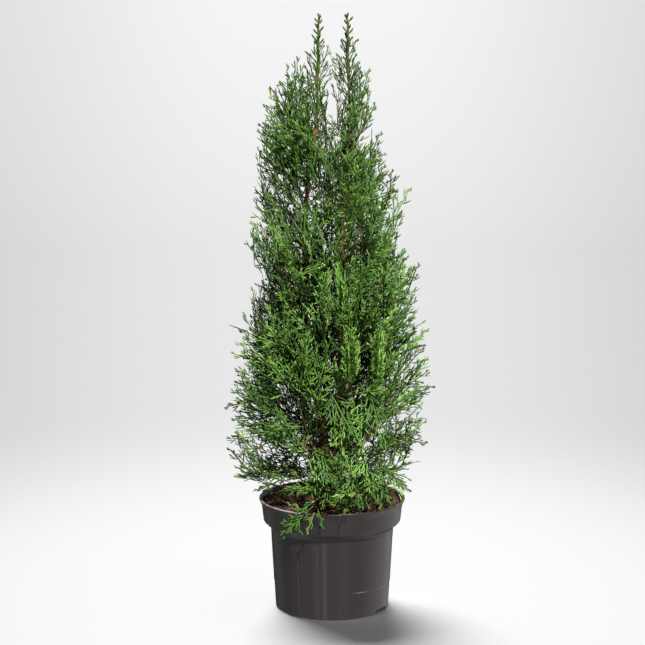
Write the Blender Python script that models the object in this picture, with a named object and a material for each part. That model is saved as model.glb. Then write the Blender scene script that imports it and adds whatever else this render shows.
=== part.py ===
"""A columnar evergreen with two leaders, growing in a round plastic nursery pot.

Metres, +Z up. The origin is the middle of the pot's underside, at floor level. The front of the plant
faces -Y and its left side is -X. Angles round the plant are in degrees from +X, so the front is 270.

The trunk forks into two leaders. Boughs leave them tier by tier, and each bough's tip carries one mass
of foliage. A mass is a stem, twigs at its sides, and flat toothed sprays on the twigs, all grown by one
seeded rule and fused. It keeps to the space that is nearer to its own stem than to any other's.
"""

import math

import bmesh
import bpy
import numpy as np
from mathutils import Matrix

# Gap between neighbouring solids
CLEAR = 0.0003

# Pot: a five litre nursery pot
POT_HEIGHT = 0.172
RIM_RADIUS = 0.1125
BAND_RADIUS = 0.1080
BAND_FOOT_RADIUS = 0.1055
BAND_FOOT_HEIGHT = 0.137
SHOULDER_RADIUS = 0.0945
SHOULDER_HEIGHT = 0.127
BASE_RADIUS = 0.0869
WALL = 0.0018
LIP_DEPTH = 0.0065
LIP_ROUND = 0.0012
FLOOR_HEIGHT = 0.0080
FLOOR_THICKNESS = 0.0020
BASE_RING = 0.0045
BEAD_HEIGHT = 0.0410
BEAD_STEP = 0.0005
POT_SIDES = 36
NOTCHES = 3
FIRST_NOTCH = 90.0
NOTCH_WIDTH = 0.036
NOTCH_HEIGHT = 0.0065
NOTCH_ROUND = 0.0030

# Growing medium
SOIL_TOP = 0.1585
SOIL_ROUGHNESS = 0.0028
SOIL_GAP = 0.0004

# Trunk and leaders: each row is x, y, z, radius
TRUNK_FOOT = SOIL_TOP + CLEAR
FORK_HEIGHT = 0.2200
FORK_SPREAD = 0.0052
TRUNK = (
    (0.0000, 0.000, TRUNK_FOOT, 0.0135),
    (0.0000, 0.000, TRUNK_FOOT + 0.010, 0.0108),
    (0.0000, 0.000, TRUNK_FOOT + 0.028, 0.0101),
    (0.0000, 0.000, FORK_HEIGHT, 0.0102),
)
LEADER_LEFT = (
    (-FORK_SPREAD, 0.000, FORK_HEIGHT + CLEAR, 0.0048),
    (-0.0200, 0.003, 0.300, 0.0046),
    (-0.0380, 0.006, 0.420, 0.0042),
    (-0.0420, 0.004, 0.530, 0.0037),
    (-0.0370, 0.002, 0.650, 0.0031),
    (-0.0255, 0.000, 0.730, 0.0026),
    (-0.0210, 0.000, 0.825, 0.0019),
)
LEADER_RIGHT = (
    (FORK_SPREAD, 0.000, FORK_HEIGHT + CLEAR, 0.0048),
    (0.0110, -0.004, 0.330, 0.0046),
    (0.0155, -0.008, 0.460, 0.0041),
    (0.0140, -0.006, 0.580, 0.0036),
    (0.0280, -0.004, 0.690, 0.0029),
    (0.0280, -0.002, 0.750, 0.0025),
    (0.0230, 0.000, 0.825, 0.0019),
)
LIMB_SIDES = 8
LIMB_STEP = 0.045
TREE_TOP = 0.913

# Crown outline: height, reach to the left, reach to the right
CROWN = (
    (0.110, 0.150, 0.140),
    (0.165, 0.148, 0.130),
    (0.200, 0.150, 0.124),
    (0.240, 0.158, 0.138),
    (0.300, 0.158, 0.148),
    (0.360, 0.151, 0.154),
    (0.440, 0.142, 0.140),
    (0.500, 0.127, 0.134),
    (0.535, 0.124, 0.139),
    (0.570, 0.129, 0.104),
    (0.640, 0.123, 0.119),
    (0.690, 0.114, 0.084),
    (0.740, 0.120, 0.068),
    (0.800, 0.102, 0.063),
    (0.835, 0.072, 0.050),
    (0.865, 0.034, 0.034),
    (0.913, 0.030, 0.030),
)

# Tiers of boughs: name, attach height, number, first angle, bough reach, bough rise, stem length,
# lean of the stem's tip from the vertical. A tier with no bough reach grows straight from the leaders.
TIERS = (
    ("skirt", 0.1880, 4, 200.0, 0.054, 0.004, 0.050, 78.0),
    ("lower", 0.2440, 4, 245.0, 0.058, 0.036, 0.076, 30.0),
    ("middle", 0.3300, 4, 200.0, 0.058, 0.046, 0.080, 20.0),
    ("upper", 0.4300, 4, 245.0, 0.048, 0.046, 0.080, 16.0),
    ("shoulder", 0.5350, 3, 185.0, 0.040, 0.046, 0.084, 12.0),
    ("neck", 0.6250, 3, 245.0, 0.000, 0.000, 0.094, 14.0),
    ("crest", 0.7150, 4, 215.0, 0.000, 0.000, 0.070, 14.0),
)
BOUGH_RADIUS = 0.0032
BOUGH_TAPER = 0.62
BOUGH_SIDES = 6
BOUGH_RINGS = 5
STEM_RADIUS = 0.0020
TIP_RADIUS = 0.0005
STEM_SIDES = 3
STEM_RINGS = 5

# Twigs and sprays of one mass
SEED = 300
TWIGS = 3
TWIG_SHARE = 0.50
TWIG_ANGLE = 52.0
TWIG_BEARINGS = (180.0, 80.0, -80.0)
TWIG_RADIUS = 0.0011
TWIG_RINGS = 3
SPRAY_LENGTH = 0.100
SPRAY_WIDTH = 0.54
SPRAY_THICKNESS = 0.0011
SPRAY_ANGLE = 34.0
SPRAY_SHRINKS = (1.0, 0.90, 0.81, 0.73, 0.64, 0.54)
SPRAY_TRIES = 20
SPRAY_SWAY = 0.45
SPRAY_ROLL = 60.0
SPRAY_APART = 0.0045
RIB_WIDTH = 0.0008
SPACE_MARGIN = 0.0007
LIMB_MARGIN = 0.0010
POT_MARGIN = 0.0030
TIP_TWIGS = 3
TIP_SIZE = 0.22
TIP_SHARE = 0.16
RIM_SIZE = 0.58
RIM_TWIGS = 1

# Colours
POT_COLOUR = (0.040, 0.037, 0.035)
SOIL_COLOUR = (0.060, 0.027, 0.014)
BARK_COLOUR = (0.180, 0.085, 0.045)
LEAF_COLOUR = (0.055, 0.125, 0.022)

UP = np.array((0.0, 0.0, 1.0))


def unit(vector):
    """The same direction with length one."""
    return vector / np.linalg.norm(vector)


def turned(vector, axis, degrees):
    """The vector turned about a unit axis, by Rodrigues' formula."""
    a = math.radians(degrees)
    along = axis * (axis @ vector) * (1 - math.cos(a))
    return vector * math.cos(a) + np.cross(axis, vector) * math.sin(a) + along


def outward(degrees):
    """The level direction at an angle round the plant."""
    a = math.radians(degrees)
    return np.array((math.cos(a), math.sin(a), 0.0))


def bezier(start, knee, end, count):
    """Points on the curve that leaves start towards knee and reaches end from knee."""
    t = np.linspace(0, 1, count)[:, None]
    return (1 - t) ** 2 * start + 2 * t * (1 - t) * knee + t**2 * end


def smooth(rows, step):
    """A Catmull-Rom curve through rows of x, y, z, radius, with a ring about every step."""
    rows = np.array(rows)
    padded = np.vstack((2 * rows[0] - rows[1], rows, 2 * rows[-1] - rows[-2]))
    pieces = []
    for a, b, c, d in zip(padded, padded[1:], padded[2:], padded[3:]):
        count = max(1, round(np.linalg.norm(c[:3] - b[:3]) / step))
        t = np.arange(count)[:, None] / count
        pieces.append(0.5 * (2 * b + (c - a) * t + (2 * a - 5 * b + 4 * c - d) * t**2
                             + (3 * b - a - 3 * c + d) * t**3))
    return np.vstack((*pieces, rows[-1:]))


def crown_reach(points):
    """How far from the axis the crown reaches at each point's height and angle."""
    height, left, right = np.array(CROWN).T
    to_left = np.interp(points[:, 2], height, left)
    to_right = np.interp(points[:, 2], height, right)
    across = points[:, 0] / np.maximum(np.hypot(points[:, 0], points[:, 1]), 1e-6)
    return (to_left + to_right) / 2 + across * (to_right - to_left) / 2


def to_limbs(points, limbs):
    """For each point, how far it is outside the nearest limb's surface."""
    nearest = np.full(len(points), 1.0)
    for limb in limbs:
        start, end = limb[:-1, :3], limb[1:, :3]
        run = end - start
        t = np.einsum("psk,sk->ps", points[:, None] - start, run) / (run**2).sum(1)
        t = np.clip(t, 0, 1)
        foot = start + t[..., None] * run
        radius = limb[:-1, 3] + t * (limb[1:, 3] - limb[:-1, 3])
        away = np.linalg.norm(points[:, None] - foot, axis=2) - radius
        nearest = np.minimum(nearest, away.min(1))
    return nearest


def in_own_space(points, own, others):
    """True where every point is clear of the planes halfway to the other masses' stems."""
    to_own = ((points[:, None] - own) ** 2).sum(2)
    site = own[to_own.argmin(1)]
    to_others = ((points[:, None] - others) ** 2).sum(2)
    apart = np.linalg.norm(others - site[:, None], axis=2)
    beyond = (to_others - to_own.min(1)[:, None]) / (2 * apart)
    return bool((beyond > SPACE_MARGIN).all())


def clear_of_pot(points):
    """True where every point is above the rim, outside the pot, or inside it above the soil."""
    radius = np.hypot(points[:, 0], points[:, 1])
    above = points[:, 2] > POT_HEIGHT + POT_MARGIN
    outside = radius > RIM_RADIUS + POT_MARGIN
    inside = (radius < BAND_FOOT_RADIUS - 2 * POT_MARGIN) & (
        points[:, 2] > SOIL_TOP + 2 * POT_MARGIN
    )
    return bool((above | outside | inside).all())


def leave(limb, height, out):
    """Where a bough leaves a limb at a height, clear of its surface, and the direction square to it."""
    middle = np.array([np.interp(height, limb[:, 2], limb[:, k]) for k in range(4)])
    low = min(int(np.searchsorted(limb[:, 2], height)), len(limb) - 1)
    tangent = unit(limb[low, :3] - limb[low - 1, :3])
    square = unit(out - tangent * (tangent @ out))
    return middle[:3] + square * (middle[3] + CLEAR * 1.3), square


def toothed_outline(length, teeth):
    """A flat spray's outline, root to tip and back: broad fingers that point forward from the rib."""
    width = length * SPRAY_WIDTH / 2
    if teeth == 2:
        fingers = ((0.46, 0.96, 0.41, 0.60), (0.84, 0.80, 0.77, 0.42))
    else:
        fingers = ((0.62, 1.00, 0.55, 0.52),)
    sides = []
    for side, shift in ((1, 0.0), (-1, 0.05)):
        points = [(0.0, side * RIB_WIDTH)]
        for tip_along, tip_out, notch_along, notch_out in fingers:
            points.append(((tip_along + shift) * length, side * tip_out * width))
            points.append(((notch_along + shift) * length, side * notch_out * width))
        sides.append(points)
    return np.array(sides[1] + [(length, 0.0)] + sides[0][::-1])


def spray_points(spray):
    """The spray's outline in the plant's frame, with points between its corners and across it."""
    root, heading, across, length, teeth = spray
    flat = toothed_outline(length, teeth)
    ring = np.vstack((flat, flat[:1]))
    t = np.linspace(0, 1, 5)[:-1, None, None]
    edges = (ring[:-1] * (1 - t) + ring[1:] * t).reshape(-1, 2)
    middle = np.array((0.5 * length, 0.0))
    inside = (flat * t + middle * (1 - t)).reshape(-1, 2)
    flat = np.vstack((edges, inside))
    return root + flat[:, :1] * heading + flat[:, 1:] * across


def make_spray(root, heading, roll, length, teeth):
    """A spray faces outward from the plant's axis, then is rolled about its own heading."""
    around = np.cross(UP, root * (1, 1, 0) + 1e-4)
    across = unit(around - heading * (around @ heading))
    return (root, heading, turned(across, heading, roll), length, teeth)


def grow(stem, seed, fits_twig, fits_spray, size=1.0, twigs=TWIGS, share=TWIG_SHARE):
    """The rule of growth: twigs leave the stem inward and to both sides, sprays end and flank them."""
    rng = np.random.default_rng(seed)
    grown, sprays, taken = [], [], []

    def add_spray(root, heading, length, teeth):
        tries = rng.uniform(-1, 1, (SPRAY_TRIES, 4))
        for shrink in SPRAY_SHRINKS:
            for roll, *sway in tries:
                ahead = unit(heading + SPRAY_SWAY * np.array(sway))
                spray = make_spray(root, ahead, SPRAY_ROLL * roll, length * shrink, teeth)
                points = spray_points(spray)
                far = points[np.linalg.norm(points - root, axis=1) > 0.22 * length]
                apart = [np.linalg.norm(far[:, None] - old, axis=2).min() for old in taken]
                if min(apart, default=1.0) > SPRAY_APART * size and fits_spray(points):
                    sprays.append(spray)
                    taken.append(points)
                    return

    reach = np.linalg.norm(stem[-1] - stem[0])
    away = unit(stem[-1] * (1, 1, 0) + 1e-5)
    for k in range(twigs):
        t = 0.14 + 0.62 * (k + rng.uniform(0.1, 0.6)) / twigs
        place = t * (len(stem) - 1)
        low = int(place)
        root = stem[low] + (place - low) * (stem[low + 1] - stem[low])
        tangent = unit(stem[low + 1] - stem[low])
        for turn in range(6):
            bearing = TWIG_BEARINGS[k % 3] + 60 * turn + rng.uniform(-20, 20)
            side = turned(away, UP, bearing)
            side = unit(side - tangent * (side @ tangent))
            angle = math.radians(TWIG_ANGLE * rng.uniform(0.8, 1.2))
            heading = tangent * math.cos(angle) + side * math.sin(angle)
            length = reach * share * (1.1 - 0.4 * t) * rng.uniform(0.85, 1.15)
            knee = root + heading * length * 0.5
            end = knee + unit(heading + 0.45 * UP) * length * 0.5
            if fits_twig(bezier(root, knee, end, 9)[2:]):
                break
        else:
            continue
        twig = bezier(root, knee, end, TWIG_RINGS)
        grown.append(twig)
        ahead = unit(end - knee)
        add_spray(end - ahead * 0.004, ahead, SPRAY_LENGTH * size * rng.uniform(0.9, 1.1), 2)
        if k != 1:
            flank = turned(ahead, unit(np.cross(ahead, UP)), SPRAY_ANGLE * (-1) ** k)
            add_spray(twig[1], flank, SPRAY_LENGTH * size * rng.uniform(0.7, 0.85), 1)
    ahead = unit(stem[-1] - stem[-2])
    add_spray(stem[-1] - ahead * 0.005, ahead, SPRAY_LENGTH * size * rng.uniform(1.0, 1.15), 2)
    for place, side in ((2, 1), (1, -1)):
        lean = unit(ahead + 0.9 * turned(away, UP, side * rng.uniform(10, 90)))
        add_spray(stem[place], lean, SPRAY_LENGTH * size * rng.uniform(0.75, 0.9), 1)
    return grown, sprays


def new_object(name, mesh):
    """An object for the mesh, linked to the scene."""
    obj = bpy.data.objects.new(name, mesh)
    bpy.context.scene.collection.objects.link(obj)
    return obj


def tube(name, path, radii, sides, level=False):
    """A tapering limb: rings square to the path, or level ones, joined by faces and closed at both ends."""
    path = np.asarray(path)
    tangents = np.tile(UP, (len(path), 1)) if level else np.gradient(path, axis=0, edge_order=2)
    across = np.cross(tangents[0], outward(33.0))
    built = bmesh.new()
    rings = []
    for point, tangent, radius in zip(path, tangents, radii):
        tangent = unit(tangent)
        across = unit(across - tangent * (across @ tangent))
        ring = [
            built.verts.new(point + radius * turned(across, tangent, 360 * k / sides))
            for k in range(sides)
        ]
        rings.append(ring)
    for low, high in zip(rings, rings[1:]):
        for k in range(sides):
            after = (k + 1) % sides
            built.faces.new((low[k], low[after], high[after], high[k]))
    built.faces.new(rings[0][::-1])
    built.faces.new(rings[-1])
    return finish_mesh(name, built)


def finish_mesh(name, built):
    """The bmesh as a new object, with its faces pointing out."""
    bmesh.ops.recalc_face_normals(built, faces=built.faces)
    mesh = bpy.data.meshes.new(name)
    built.to_mesh(mesh)
    built.free()
    return new_object(name, mesh)


def spray_blade(name, spray):
    """A toothed plate as thick as a spray, standing on its outline in the plant's frame."""
    root, heading, across, length, teeth = spray
    thick = np.cross(heading, across) * SPRAY_THICKNESS
    built = bmesh.new()
    corners = [
        built.verts.new(root + u * heading + v * across - thick / 2)
        for u, v in toothed_outline(length, teeth)
    ]
    face = built.faces.new(corners)
    grown = bmesh.ops.extrude_face_region(built, geom=[face])
    moved = [v for v in grown["geom"] if isinstance(v, bmesh.types.BMVert)]
    bmesh.ops.translate(built, verts=moved, vec=thick)
    return finish_mesh(name, built)


def keep_outer_shell(mesh):
    """Removes every shell but the largest, so a pocket closed in between sprays becomes solid."""
    built = bmesh.new()
    built.from_mesh(mesh)
    left = set(built.verts)
    shells = []
    while left:
        shell, edge = set(), {next(iter(left))}
        while edge:
            shell |= edge
            edge = {e.other_vert(v) for v in edge for e in v.link_edges} - shell
        left -= shell
        shells.append(shell)
    largest = max(shells, key=len)
    spare = [vert for vert in built.verts if vert not in largest]
    bmesh.ops.delete(built, geom=spare, context="VERTS")
    built.to_mesh(mesh)
    built.free()


def fuse(body, parts):
    """One Boolean union joins the parts to the body; the parts are then removed."""
    group = bpy.data.collections.new(body.name + "_parts")
    bpy.context.scene.collection.children.link(group)
    for part in parts:
        bpy.context.scene.collection.objects.unlink(part)
        group.objects.link(part)
    union = body.modifiers.new("fuse", "BOOLEAN")
    union.operation = "UNION"
    union.operand_type = "COLLECTION"
    union.collection = group
    union.solver = "MANIFOLD"
    bpy.context.view_layer.update()
    graph = bpy.context.evaluated_depsgraph_get()
    fused = bpy.data.meshes.new_from_object(body.evaluated_get(graph))
    body.modifiers.remove(union)
    body.data = fused
    keep_outer_shell(fused)
    for part in parts:
        bpy.data.objects.remove(part)
    bpy.data.collections.remove(group)


def material(name, colour, roughness):
    """A plain finish with the part's colour."""
    made = bpy.data.materials.new(name)
    made.use_nodes = True
    shader = made.node_tree.nodes["Principled BSDF"]
    shader.inputs["Base Color"].default_value = (*colour, 1.0)
    shader.inputs["Roughness"].default_value = roughness
    shader.inputs["Metallic"].default_value = 0.0
    return made


def paint(obj, finish):
    obj.data.materials.clear()
    obj.data.materials.append(finish)


def turned_shape(name, profile, sides):
    """A profile of radius and height, from the axis round to the axis, spun about Z."""
    built = bmesh.new()
    line = [built.verts.new((radius, 0.0, height)) for radius, height in profile]
    edges = [built.edges.new(pair) for pair in zip(line, line[1:])]
    bmesh.ops.spin(built, geom=line + edges, cent=(0, 0, 0), axis=(0, 0, 1),
                   angle=2 * math.pi, steps=sides, use_merge=True)
    bmesh.ops.remove_doubles(built, verts=built.verts, dist=1e-6)
    return built


def wall_radius(height):
    """The pot's outer radius on its tapered body."""
    share = height / SHOULDER_HEIGHT
    return BASE_RADIUS + share * (SHOULDER_RADIUS - BASE_RADIUS)


def make_pot():
    """A thin turned shell: base ring, tapered body with a bead, shoulder, broad band and rolled lip."""
    inner = RIM_RADIUS - WALL - LIP_ROUND * 2
    outside = [
        (0.0, FLOOR_HEIGHT),
        (BASE_RADIUS - BASE_RING, FLOOR_HEIGHT),
        (BASE_RADIUS - BASE_RING, 0.0),
        (BASE_RADIUS, 0.0),
        (wall_radius(BEAD_HEIGHT), BEAD_HEIGHT),
        (wall_radius(BEAD_HEIGHT) + BEAD_STEP, BEAD_HEIGHT + BEAD_STEP),
        (SHOULDER_RADIUS, SHOULDER_HEIGHT),
        (BAND_FOOT_RADIUS, BAND_FOOT_HEIGHT),
        (BAND_RADIUS, POT_HEIGHT - LIP_DEPTH),
        (RIM_RADIUS, POT_HEIGHT - LIP_ROUND * 2),
        (RIM_RADIUS - LIP_ROUND, POT_HEIGHT),
    ]
    inside = [
        (inner, POT_HEIGHT),
        (BAND_RADIUS - WALL, POT_HEIGHT - LIP_DEPTH),
        (BAND_FOOT_RADIUS - WALL, BAND_FOOT_HEIGHT + WALL / 2),
        (SHOULDER_RADIUS - WALL, SHOULDER_HEIGHT + WALL / 2),
        (wall_radius(FLOOR_HEIGHT) - WALL, FLOOR_HEIGHT + FLOOR_THICKNESS),
        (0.0, FLOOR_HEIGHT + FLOOR_THICKNESS),
    ]
    pot = finish_mesh("pot", turned_shape("pot", outside + inside, POT_SIDES))
    for k in range(NOTCHES):
        cutter = notch_cutter(k)
        cut = pot.modifiers.new("notch", "BOOLEAN")
        cut.operation = "DIFFERENCE"
        cut.object = cutter
    paint(pot, material("pot_plastic", POT_COLOUR, 0.42))
    return pot


def notch_cutter(number):
    """A round-shouldered block across the base ring, hidden from the render."""
    built = bmesh.new()
    bmesh.ops.create_cube(built, size=1.0)
    depth = BASE_RING * 4
    bmesh.ops.scale(built, verts=built.verts, vec=(depth, NOTCH_WIDTH, 2 * NOTCH_HEIGHT))
    edges = [
        edge for edge in built.edges
        if all(v.co.z > 0 for v in edge.verts) and abs(edge.verts[0].co.y - edge.verts[1].co.y) < 1e-6
    ]
    bmesh.ops.bevel(built, geom=edges, offset=NOTCH_ROUND, segments=3, profile=0.5, affect="EDGES")
    angle = math.radians(FIRST_NOTCH + number * 360 / NOTCHES)
    bmesh.ops.translate(built, verts=built.verts, vec=(BASE_RADIUS - BASE_RING / 2, 0, 0))
    bmesh.ops.rotate(built, verts=built.verts, cent=(0, 0, 0), matrix=Matrix.Rotation(angle, 3, "Z"))
    cutter = finish_mesh(f"notch_cutter_{number}", built)
    cutter.hide_render = True
    cutter.display_type = "WIRE"
    return cutter


def make_soil():
    """The growing medium fills the pot to just under its rim, with a rough top that is level at the trunk."""
    gap = WALL + SOIL_GAP
    floor = FLOOR_HEIGHT + FLOOR_THICKNESS
    profile = [
        (0.0, floor + SOIL_GAP),
        (wall_radius(floor) - gap, floor + SOIL_GAP),
        (SHOULDER_RADIUS - gap, SHOULDER_HEIGHT + WALL),
        (BAND_FOOT_RADIUS - gap, BAND_FOOT_HEIGHT + WALL),
        (BAND_FOOT_RADIUS - gap + 0.0012, SOIL_TOP),
        (0.084, SOIL_TOP),
        (0.064, SOIL_TOP),
        (0.042, SOIL_TOP),
        (0.020, SOIL_TOP),
        (0.0, SOIL_TOP),
    ]
    built = turned_shape("growing_medium", profile, POT_SIDES)
    rng = np.random.default_rng(7)
    for vert in sorted(built.verts, key=lambda v: (round(v.co.x, 6), round(v.co.y, 6), round(v.co.z, 6))):
        radius = math.hypot(vert.co.x, vert.co.y)
        if vert.co.z > SOIL_TOP - CLEAR and 0.03 < radius < 0.09:
            vert.co.z += rng.uniform(-1, 1) * SOIL_ROUGHNESS
    soil = finish_mesh("growing_medium", built)
    paint(soil, material("soil", SOIL_COLOUR, 0.95))
    return soil


def place_tiers(leaders, trunk):
    """Works out each bough and the stem of the mass on it: name, bough path or None, stem path."""
    placed = []
    for tier, attach, number, first, reach, rise, stem_length, lean in TIERS:
        for k in range(number):
            angle = first + 360 * k / number
            out = outward(angle)
            height = attach + 0.004 * (k % 3)
            if height < FORK_HEIGHT:
                limb = trunk
            else:
                limb = leaders[0] if out[0] < 0.2 * math.cos(k) else leaders[1]
            start, square = leave(limb, height, out)
            if reach:
                knee = start + square * reach * 0.62
                tip = start + out * reach + UP * rise
                bough = bezier(start, knee, tip, BOUGH_RINGS)
                heading = unit(tip - knee)
                root = tip + heading * CLEAR
            else:
                bough = None
                heading = square
                root = start
            tilt = math.radians(lean)
            tip_heading = out * math.sin(tilt) + UP * math.cos(tilt)
            share = 0.50 if reach else 0.24
            stem_knee = root + heading * stem_length * share
            stem = bezier(root, stem_knee, stem_knee + tip_heading * stem_length * (1 - share), STEM_RINGS)
            placed.append((f"{tier}_{k + 1}", bough, stem))
    return placed


def special_masses(leaders, trunk):
    """The two leader tips, and the low bough whose spray hangs over the pot's rim at the front left."""
    placed = []
    for name, leader in zip(("tip_left", "tip_right"), leaders):
        heading = unit(leader[-1, :3] - leader[-2, :3])
        root = leader[-1, :3] + heading * CLEAR
        end = np.array((root[0], root[1], TREE_TOP - 0.020))
        placed.append((name, None, bezier(root, (root + end) / 2, end, STEM_RINGS)))
    out = outward(254.0)
    start, square = leave(trunk, 0.1800, out)
    knee = start + square * 0.040 + UP * 0.004
    tip = out * 0.110 + UP * 0.1900
    bough = bezier(start, knee, tip, BOUGH_RINGS)
    heading = unit(tip - knee)
    root = tip + heading * CLEAR
    end = outward(243.0) * 0.1330 + UP * 0.148
    stem = bezier(root, root + heading * 0.022, end, STEM_RINGS)
    placed.append(("over_rim", bough, stem))
    return placed


def with_radii(path, first, last):
    """The path with a radius that tapers evenly from first to last in a fourth column."""
    return np.column_stack((path, np.linspace(first, last, len(path))))


def sites_of(stem):
    """The points that stand for a mass when the crown is shared out: along its stem and past its tip."""
    ahead = unit(stem[-1] - stem[-2])
    return np.vstack((stem[1:], stem[-1] + ahead * 0.03, stem[-1] + ahead * 0.06))


def main():
    for obj in list(bpy.data.objects):
        bpy.data.objects.remove(obj)
    bark = material("bark", BARK_COLOUR, 0.85)
    leaf = material("foliage", LEAF_COLOUR, 0.55)
    make_pot()
    make_soil()

    trunk = smooth(TRUNK, LIMB_STEP / 2)
    leaders = (smooth(LEADER_LEFT, LIMB_STEP), smooth(LEADER_RIGHT, LIMB_STEP))
    limbs = [trunk, *leaders]
    for name, limb in zip(("trunk", "leader_left", "leader_right"), limbs):
        paint(tube(name, limb[:, :3], limb[:, 3], LIMB_SIDES, level=True), bark)

    masses = place_tiers(leaders, trunk) + special_masses(leaders, trunk)
    for name, bough, _ in masses:
        if bough is not None:
            limb = with_radii(bough, BOUGH_RADIUS, BOUGH_RADIUS * BOUGH_TAPER)
            limbs.append(limb)
            paint(tube("bough_" + name, limb[:, :3], limb[:, 3], BOUGH_SIDES), bark)

    sites = [sites_of(stem) for _, _, stem in masses]
    for number, (name, bough, stem) in enumerate(masses):
        own = sites[number]
        others = np.vstack(sites[:number] + sites[number + 1:])

        def fits(points, thickness):
            return (
                (np.hypot(points[:, 0], points[:, 1]) < crown_reach(points)).all()
                and (points[:, 2] < TREE_TOP).all()
                and clear_of_pot(points)
                and (to_limbs(points, limbs) > thickness + LIMB_MARGIN).all()
                and in_own_space(points, own, others)
            )

        size, number_of_twigs, share = 1.0, TWIGS, TWIG_SHARE
        if name.startswith("tip"):
            size, number_of_twigs, share = TIP_SIZE, TIP_TWIGS, TIP_SHARE
        if name == "over_rim":
            size, number_of_twigs = RIM_SIZE, RIM_TWIGS
        twigs, sprays = grow(
            stem, SEED + number,
            lambda points: fits(points, TWIG_RADIUS),
            lambda points: fits(points[6:], SPRAY_THICKNESS / 2),
            size, number_of_twigs, share,
        )
        first = BOUGH_RADIUS * BOUGH_TAPER if bough is not None else STEM_RADIUS
        if name.startswith("tip"):
            first = leaders[0][-1, 3]
        body = tube("foliage_" + name, stem, np.linspace(first, TIP_RADIUS, len(stem)), STEM_SIDES)
        parts = [
            tube(f"twig_{k}", twig, np.linspace(TWIG_RADIUS, TIP_RADIUS, len(twig)), STEM_SIDES)
            for k, twig in enumerate(twigs)
        ]
        parts += [spray_blade(f"spray_{k}", spray) for k, spray in enumerate(sprays)]
        fuse(body, parts)
        paint(body, leaf)
        lengths = [round(spray[3] * 1000) for spray in sprays]
        print(body.name, len(twigs), "twigs, sprays of", lengths, "mm")


main()
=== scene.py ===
# %% [markdown]
# # A potted emerald green arborvitae
#
# The plant is a young columnar conifer with two leaders, in a round dark nursery pot. Its foliage is
# not made of needles but of flat, lacy sprays: a middle axis with side axes, and short blunt shoots on
# those, all in one plane. The lesson goes from the outside in: camera and studio first, then pot and
# soil, then the wood, and at last the foliage, which takes most of the script.
#
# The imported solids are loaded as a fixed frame. The pieces made here take their places, at the same size,
# or add what the solids leave out, such as loose bark and fine twigs.

import math

import bpy
import numpy as np
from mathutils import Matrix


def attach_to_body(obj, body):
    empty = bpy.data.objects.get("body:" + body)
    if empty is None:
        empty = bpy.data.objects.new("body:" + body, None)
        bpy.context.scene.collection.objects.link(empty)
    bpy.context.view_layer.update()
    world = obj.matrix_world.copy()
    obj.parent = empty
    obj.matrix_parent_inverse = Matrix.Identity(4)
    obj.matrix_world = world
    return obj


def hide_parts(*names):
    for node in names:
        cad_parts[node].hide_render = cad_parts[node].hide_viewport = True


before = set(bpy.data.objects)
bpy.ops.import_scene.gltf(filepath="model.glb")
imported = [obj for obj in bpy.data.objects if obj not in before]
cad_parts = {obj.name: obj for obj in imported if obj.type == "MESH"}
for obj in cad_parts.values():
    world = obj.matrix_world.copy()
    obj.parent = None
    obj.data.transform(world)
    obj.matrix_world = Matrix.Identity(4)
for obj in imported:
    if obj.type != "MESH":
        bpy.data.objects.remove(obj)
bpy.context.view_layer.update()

# %% [markdown]
# ## The camera
#
# A photo's perspective can be read from round things. The pot's rim, band and base show as ellipses,
# and their flatness gives how far down the camera looks, while their sizes give how far away it is.
# The camera below was fitted to those: 3.5 m away, about a metre up, with a long lens.

# %% Camera
CAMERA_PLACE = (-0.0147, -3.5, 1.0559)
CAMERA_DOWN = 0.173
CAMERA_LENS = 130.3

camera_data = bpy.data.cameras.new("camera")
camera_data.lens = CAMERA_LENS
camera_data.sensor_width = 36.0
camera_data.clip_end = 60.0
camera = bpy.data.objects.new("camera", camera_data)
camera.location = CAMERA_PLACE
camera.rotation_euler = (math.pi / 2 - CAMERA_DOWN, 0.0, 0.0)
bpy.context.scene.collection.objects.link(camera)
bpy.context.scene.camera = camera

# %% [markdown]
# ## Helpers for meshes
#
# Every shape here is worked out as an array of points. `closed_tubes` joins rings of points with quads and
# closes both ends with a pole: pot, limbs, twigs and shoots are all such tubes. `add_mesh` puts points and
# faces into a mesh. `add_piece` also tells the frame which body the piece rides on and which solids it
# stands for.


# %% Mesh helpers
def ring_faces(rings, around):
    """Quads between rings, where corner j of ring i has the number i * around + j."""
    i, j = np.meshgrid(np.arange(rings - 1), np.arange(around), indexing="ij")
    after = (j + 1) % around
    corners = (i * around + j, i * around + after, (i + 1) * around + after, (i + 1) * around + j)
    return np.stack(corners, axis=-1).reshape(-1, 4)


def closed_tubes(rings, starts, ends):
    """Points and faces of tubes, from an array (tube, ring, corner, xyz) and the poles that close them."""
    count, length, around, _ = rings.shape
    points = np.concatenate((rings.reshape(count, -1, 3), starts, ends), axis=1)
    j = np.arange(around)
    after = (j + 1) % around
    pole = np.full(around, length * around)
    last_ring = (length - 1) * around
    first = np.stack((pole, after, j), axis=-1)
    last = np.stack((pole + 1, last_ring + j, last_ring + after), axis=-1)
    shift = (np.arange(count) * points.shape[1])[:, None, None]
    groups = (ring_faces(length, around), first, last)
    return points.reshape(-1, 3), [(group + shift).reshape(-1, group.shape[1]) for group in groups]


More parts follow.
